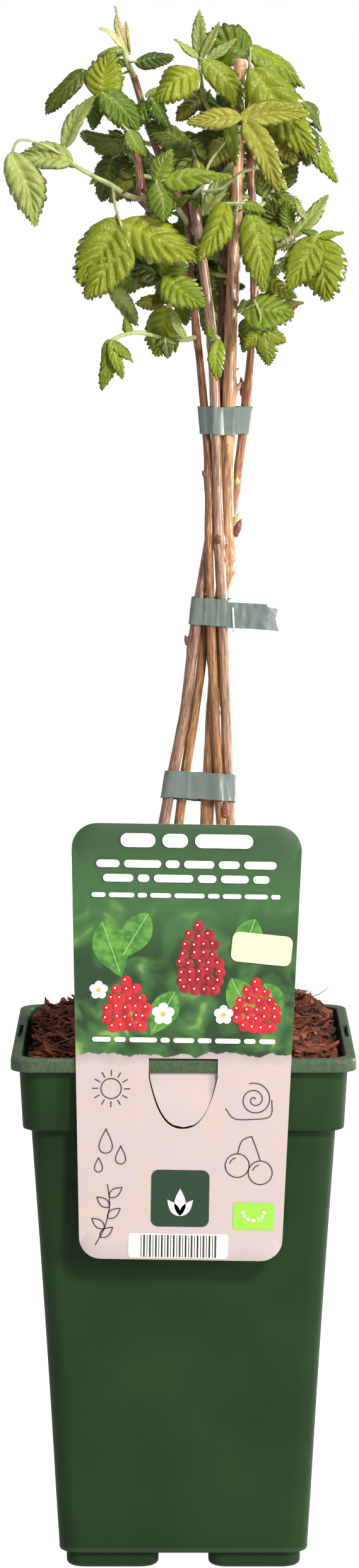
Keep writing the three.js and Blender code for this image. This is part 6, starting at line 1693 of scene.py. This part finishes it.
def make_stage(settings):
    """A broad pale floor, a soft white surround, area lights and the camera."""
    scene = bpy.context.scene
    bpy.ops.mesh.primitive_plane_add(size=FLOOR_SIZE)
    floor = bpy.context.active_object
    floor.name = "floor"
    paint, add, feed = new_material("Painted white floor", roughness=0.85, base_color=settings.floor,
                                    emission_color=settings.surround)
    glow = settings.floor_glow
    feed(emission_strength=add("range", add("seen"), 0.0, 1.0, glow * FLOOR_SHARE, glow))
    floor.data.materials.append(paint)
    scene.world = bpy.data.worlds.new("studio")
    scene.world.use_nodes = True
    tree = scene.world.node_tree
    strength = add_node(tree, "range", add_node(tree, "seen"), 0.0, 1.0, settings.surround_light, 1.0)
    fill_sockets(tree, node_of(tree, "BACKGROUND"), {"Color": settings.surround, "Strength": strength})
    for name, place, target, size, power, colour in LIGHTS:
        light = bpy.data.lights.new(name, "AREA")
        light.shape, light.size, light.energy = "DISK", size, power * settings.lamp_light
        light.color = linear(colour)
        lamp = linked(name, light)
        lamp.location = place
        lamp.rotation_euler = (Vector(place) - Vector(target)).to_track_quat("Z", "Y").to_euler()
    camera = linked("camera", bpy.data.cameras.new("camera"))
    camera.data.sensor_fit, camera.data.sensor_height = "VERTICAL", IMAGE_HIGH
    camera.data.lens, camera.data.clip_end = CAMERA_LENS, 100
    camera.location = CAMERA_PLACE
    camera.rotation_euler = (math.radians(CAMERA_PITCH), 0, 0)
    scene.camera = camera
    scene.view_settings.view_transform = "Standard"


# ---- settings ----

class PotSettings(bpy.types.PropertyGroup):
    """The pot's colours."""
    colour: hue("Moulded plastic", "#192f17")
    light: hue("Weathered plastic", "#213a1d")
    # This grey is also the painted sheen on the rim's top.
    worn: hue("Rubbed edges and painted rim sheen", "#77876f")


class MulchSettings(bpy.types.PropertyGroup):
    """How the bark mulch is strewn and coloured."""
    chips: IntProperty(name="Chips", description="How many flakes of bark", default=1500, min=0, max=6000)
    fibres: IntProperty(name="Fibres", description="How many loose fibres", default=260, min=0, max=2000)
    dark: hue("Darkest flakes and compost", "#341810")
    bright: hue("Brightest flakes", "#984c30")
    fibre: hue("Loose fibres", "#9a5c38")


class LabelSettings(bpy.types.PropertyGroup):
    """The label's plain colours."""
    header: hue("Header's top", "#2b462a")
    header_low: hue("Header's foot", "#386035")
    picture: hue("Picture ground", "#3f6a35")
    picture_dark: hue("Picture ground's shade", "#1c3a1c")
    picture_light: hue("Picture ground's lights", "#8fae5a")
    panel: hue("Lower panel", "#b5a7ac")
    panel_warm: hue("Lower panel's blotches", "#baa9a1")
    white: hue("Bars, blossoms and striped box", "#e4e3dd")
    pink: hue("Blank tag", "#f0c4ae")
    ink: hue("Line drawings", "#35302f")


class CaneSettings(bpy.types.PropertyGroup):
    """The canes' colours."""
    thick_high: hue("Thick cane's upper bark", "#d9a478")
    thick: hue("Thick cane's lower bark", "#a9784a")
    pale: hue("Pale cane", "#a17d69")
    bent_high: hue("Bent cane's upper bark", "#7c4428")
    bent_low: hue("Bent cane's lower bark", "#94602f")
    left_high: hue("Left cane's upper bark", "#4f3222")
    left: hue("Left cane's lower bark", "#8b6858")
    short: hue("Short cane", "#8f5e2c")
    bough: hue("Left bough", "#6a3018")
    bough_right: hue("Right bough", "#955626")
    streak: hue("Dark streaks of the bark", "#472614")
    bud: hue("Bud scales", "#6b3226")
    bud_green: hue("Youngest buds", "#a7ad62")
    tape: hue("Tapes' threads", "#68746f")
    tape_dark: hue("Gaps between the tapes' threads", "#4f5a56")
    tape_back: hue("Tapes' silvery other face", "#8b8e96")


class LeafSettings(bpy.types.PropertyGroup):
    """The leaves' plain colours, dealt out by spray."""
    lime: hue("Lime leaves", "#808e12")
    fresh: hue("Fresh green leaves", "#718a16")
    mid: hue("Middle green leaves", "#486c0e")
    deep: hue("Deep green leaves", "#26460a")
    olive: hue("Ageing leaves", "#7a7c26")
    cream: hue("Palest young leaves", "#e4d6a2")
    young: hue("Unopened leaves", "#b0ab44")
    pale: hue("Leaves that show their underside", "#a5b268")
    stem: hue("Shoots and leaf stalks", "#a4ac72")
    stem_dark: hue("Shoots' shaded streaks", "#7c8748")


class StageSettings(bpy.types.PropertyGroup):
    """The floor and the light."""
    floor: hue("Floor's paint", "#a6a6a4")
    surround: hue("Studio's surround", "#ffffff")
    surround_light: FloatProperty(name="Surround light", description="How bright the surround is",
                                  default=0.27, min=0.0, max=5.0)
    floor_glow: FloatProperty(name="Floor glow", description="The light that comes through the floor",
                              default=1.0, min=0.0, max=2.0)
    lamp_light: FloatProperty(name="Lamp light", description="How bright the lamps are", default=1.0,
                              min=0.0, max=5.0)


# ---- operators ----

def make_piece(name, materials, slot, draw, *details, nodes=(), crease=180.0):
    """Draws a piece on a surface of its own and builds it."""
    surface = Surface()
    draw(surface, *details)
    surface.build(name, materials, slot, nodes, crease)


class RASPBERRY_OT_pot(bpy.types.Operator):
    """Make the pot with its slotted rim and its pads"""
    bl_idname = "raspberry.pot"
    bl_label = "Make Pot"

    def execute(self, context):
        plastic = [moulded_polypropylene(context.scene.raspberry_pot)]
        make_piece("pot_shell", plastic, "pot", pot_shell, nodes=["pot"], crease=60)
        make_piece("pot_pads", plastic, "pot", pot_pads, crease=60)
        return {"FINISHED"}


class RASPBERRY_OT_mulch(bpy.types.Operator):
    """Make the compost and the shredded bark on it"""
    bl_idname = "raspberry.mulch"
    bl_label = "Make Mulch"

    def execute(self, context):
        settings = context.scene.raspberry_mulch
        half = COLLAR_HALF_FOOT - POT_WALL - 2
        bark = shredded_bark("Shredded pine bark", settings.dark, settings.bright)
        fibre = shredded_bark("Loose bark fibre", settings.dark, settings.fibre)
        make_piece("mulch_bed", [compost(settings)], "mulch", mulch_bed, nodes=["mulch"])
        make_piece("mulch_chips", [bark], "mulch", bark_layers, settings.chips, half, crease=55)
        make_piece("mulch_fibres", [fibre], "mulch", bark_fibres, settings.fibres, half - 2)
        return {"FINISHED"}


class RASPBERRY_OT_label(bpy.types.Operator):
    """Make the label card, its hooked tongue and its plain generic print"""
    bl_idname = "raspberry.label"
    bl_label = "Make Label"

    def execute(self, context):
        s = context.scene.raspberry_label
        printed, plain = coated_card(s, True), coated_card(s, False)
        make_piece("label_card", [printed, plain], "label", label_card, nodes=["label"], crease=40)
        make_piece("label_tongue", [plain], "label", label_tongue, crease=50)
        inks = {"white": (s.white,), "leaf green": ("#5c9438", "#356b2c"), "leaf rib": ("#9cc070",),
                "straw": ("#cfa83e",), "grey line": (s.ink,), "black": ("#22201f",),
                "dark green": ("#173522",), "light green": ("#8dc63f",), "pink": (s.pink,),
                "red": ("#c8242c", "#9b1220"), "deep red": ("#a81c2a", "#7d0f1c")}
        inks = {name: printer_ink(name, *colours) for name, colours in inks.items()}
        for name, draw, *used in (
                ("print_leaves", print_leaves, "leaf green", "leaf rib"),
                ("print_blossoms", print_blossoms, "white", "straw"),
                ("print_bars", print_bars, "white"),
                ("print_lines", print_lines, "grey line"),
                ("print_stripes", print_stripes, "white", "black"),
                ("print_panels", print_panels, "dark green", "light green", "pink", "white"),
                ("print_berries", print_bunches, "red", "deep red", "white")):
            make_piece(name, [inks[ink] for ink in used], "label", draw, crease=60)
        return {"FINISHED"}


class RASPBERRY_OT_canes(bpy.types.Operator):
    """Make the canes, boughs and buds"""
    bl_idname = "raspberry.canes"
    bl_label = "Make Canes"

    def execute(self, context):
        c = context.scene.raspberry_canes
        barks = (("cane_thick", c.thick_high, c.thick), ("cane_pale", c.pale, c.pale),
                 ("cane_bent", c.bent_high, c.bent_low), ("cane_left", c.left_high, c.left),
                 ("cane_short", c.short, c.short), ("bough_right", c.bough, c.bough_right),
                 ("bough_left", c.bough, c.bough))
        for seed, (name, high, low) in enumerate(barks):
            bark_of(name, (high, low, c.streak), 3 + 7 * seed)
        cane_buds(c)
        return {"FINISHED"}


class RASPBERRY_OT_tapes(bpy.types.Operator):
    """Make the three tapes and the staple"""
    bl_idname = "raspberry.tapes"
    bl_label = "Make Tapes"

    def execute(self, context):
        make_tapes(context.scene.raspberry_canes)
        return {"FINISHED"}


class RASPBERRY_OT_crown(bpy.types.Operator):
    """Make the leafy shoots"""
    bl_idname = "raspberry.crown"
    bl_label = "Make Crown"

    def execute(self, context):
        settings = context.scene.raspberry_leaves
        crown = Crown(TINTS)
        shoots = [*SHOOTS, *back_shoots()]
        for spec in (*shoots, *INNER_SHOOTS, *spurs()):
            crown.add_shoot(*spec)
        tip = [limb_at("cane_bent", z)[0] for z in GREEN_TIP]
        crown.add_stem([*tip, *SHOOTS[0][3]], *GREEN_CANE)
        crown.stems.build("crown_stems", [green_stem(settings)], "leaves", [row[0] for row in shoots])
        for tint in TINTS:
            faces = [leaf_blade(f"Raspberry leaf{side}, {tint}", getattr(settings, tint), bool(side))
                     for side in ("", " underside")]
            crown.leaves[tint].build(f"leaves_{tint}", faces, "leaves")
        return {"FINISHED"}


class RASPBERRY_OT_stage(bpy.types.Operator):
    """Make the floor, the light and the camera"""
    bl_idname = "raspberry.stage"
    bl_label = "Make Stage"

    def execute(self, context):
        make_stage(context.scene.raspberry_stage)
        return {"FINISHED"}


OPERATORS = (RASPBERRY_OT_pot, RASPBERRY_OT_mulch, RASPBERRY_OT_label, RASPBERRY_OT_canes,
             RASPBERRY_OT_tapes, RASPBERRY_OT_crown, RASPBERRY_OT_stage)
SETTINGS = {"raspberry_pot": PotSettings, "raspberry_mulch": MulchSettings,
            "raspberry_label": LabelSettings, "raspberry_canes": CaneSettings,
            "raspberry_leaves": LeafSettings, "raspberry_stage": StageSettings}


class RASPBERRY_PT_panel(bpy.types.Panel):
    """Lists the pieces and their settings"""
    bl_idname = "RASPBERRY_PT_panel"
    bl_label = "Raspberry Cane"
    bl_space_type = "VIEW_3D"
    bl_region_type = "UI"
    bl_category = "Plant"

    def draw(self, context):
        for operator in OPERATORS:
            self.layout.operator(operator.bl_idname)
        for name, group in SETTINGS.items():
            box = self.layout.box()
            for key in group.__annotations__:
                box.prop(getattr(context.scene, name), key)


def register():
    for group in SETTINGS.values():
        bpy.utils.register_class(group)
    for cls in (*OPERATORS, RASPBERRY_PT_panel):
        bpy.utils.register_class(cls)
    for name, group in SETTINGS.items():
        setattr(bpy.types.Scene, name, PointerProperty(type=group))


def unregister():
    for name in SETTINGS:
        delattr(bpy.types.Scene, name)
    for cls in (RASPBERRY_PT_panel, *reversed(OPERATORS)):
        bpy.utils.unregister_class(cls)
    for group in SETTINGS.values():
        bpy.utils.unregister_class(group)


def main():
    register()
    for name in ("pot", "mulch", "label", "canes", "tapes", "crown", "stage"):
        getattr(bpy.ops.raspberry, name)()


if __name__ == "__main__":
    main()
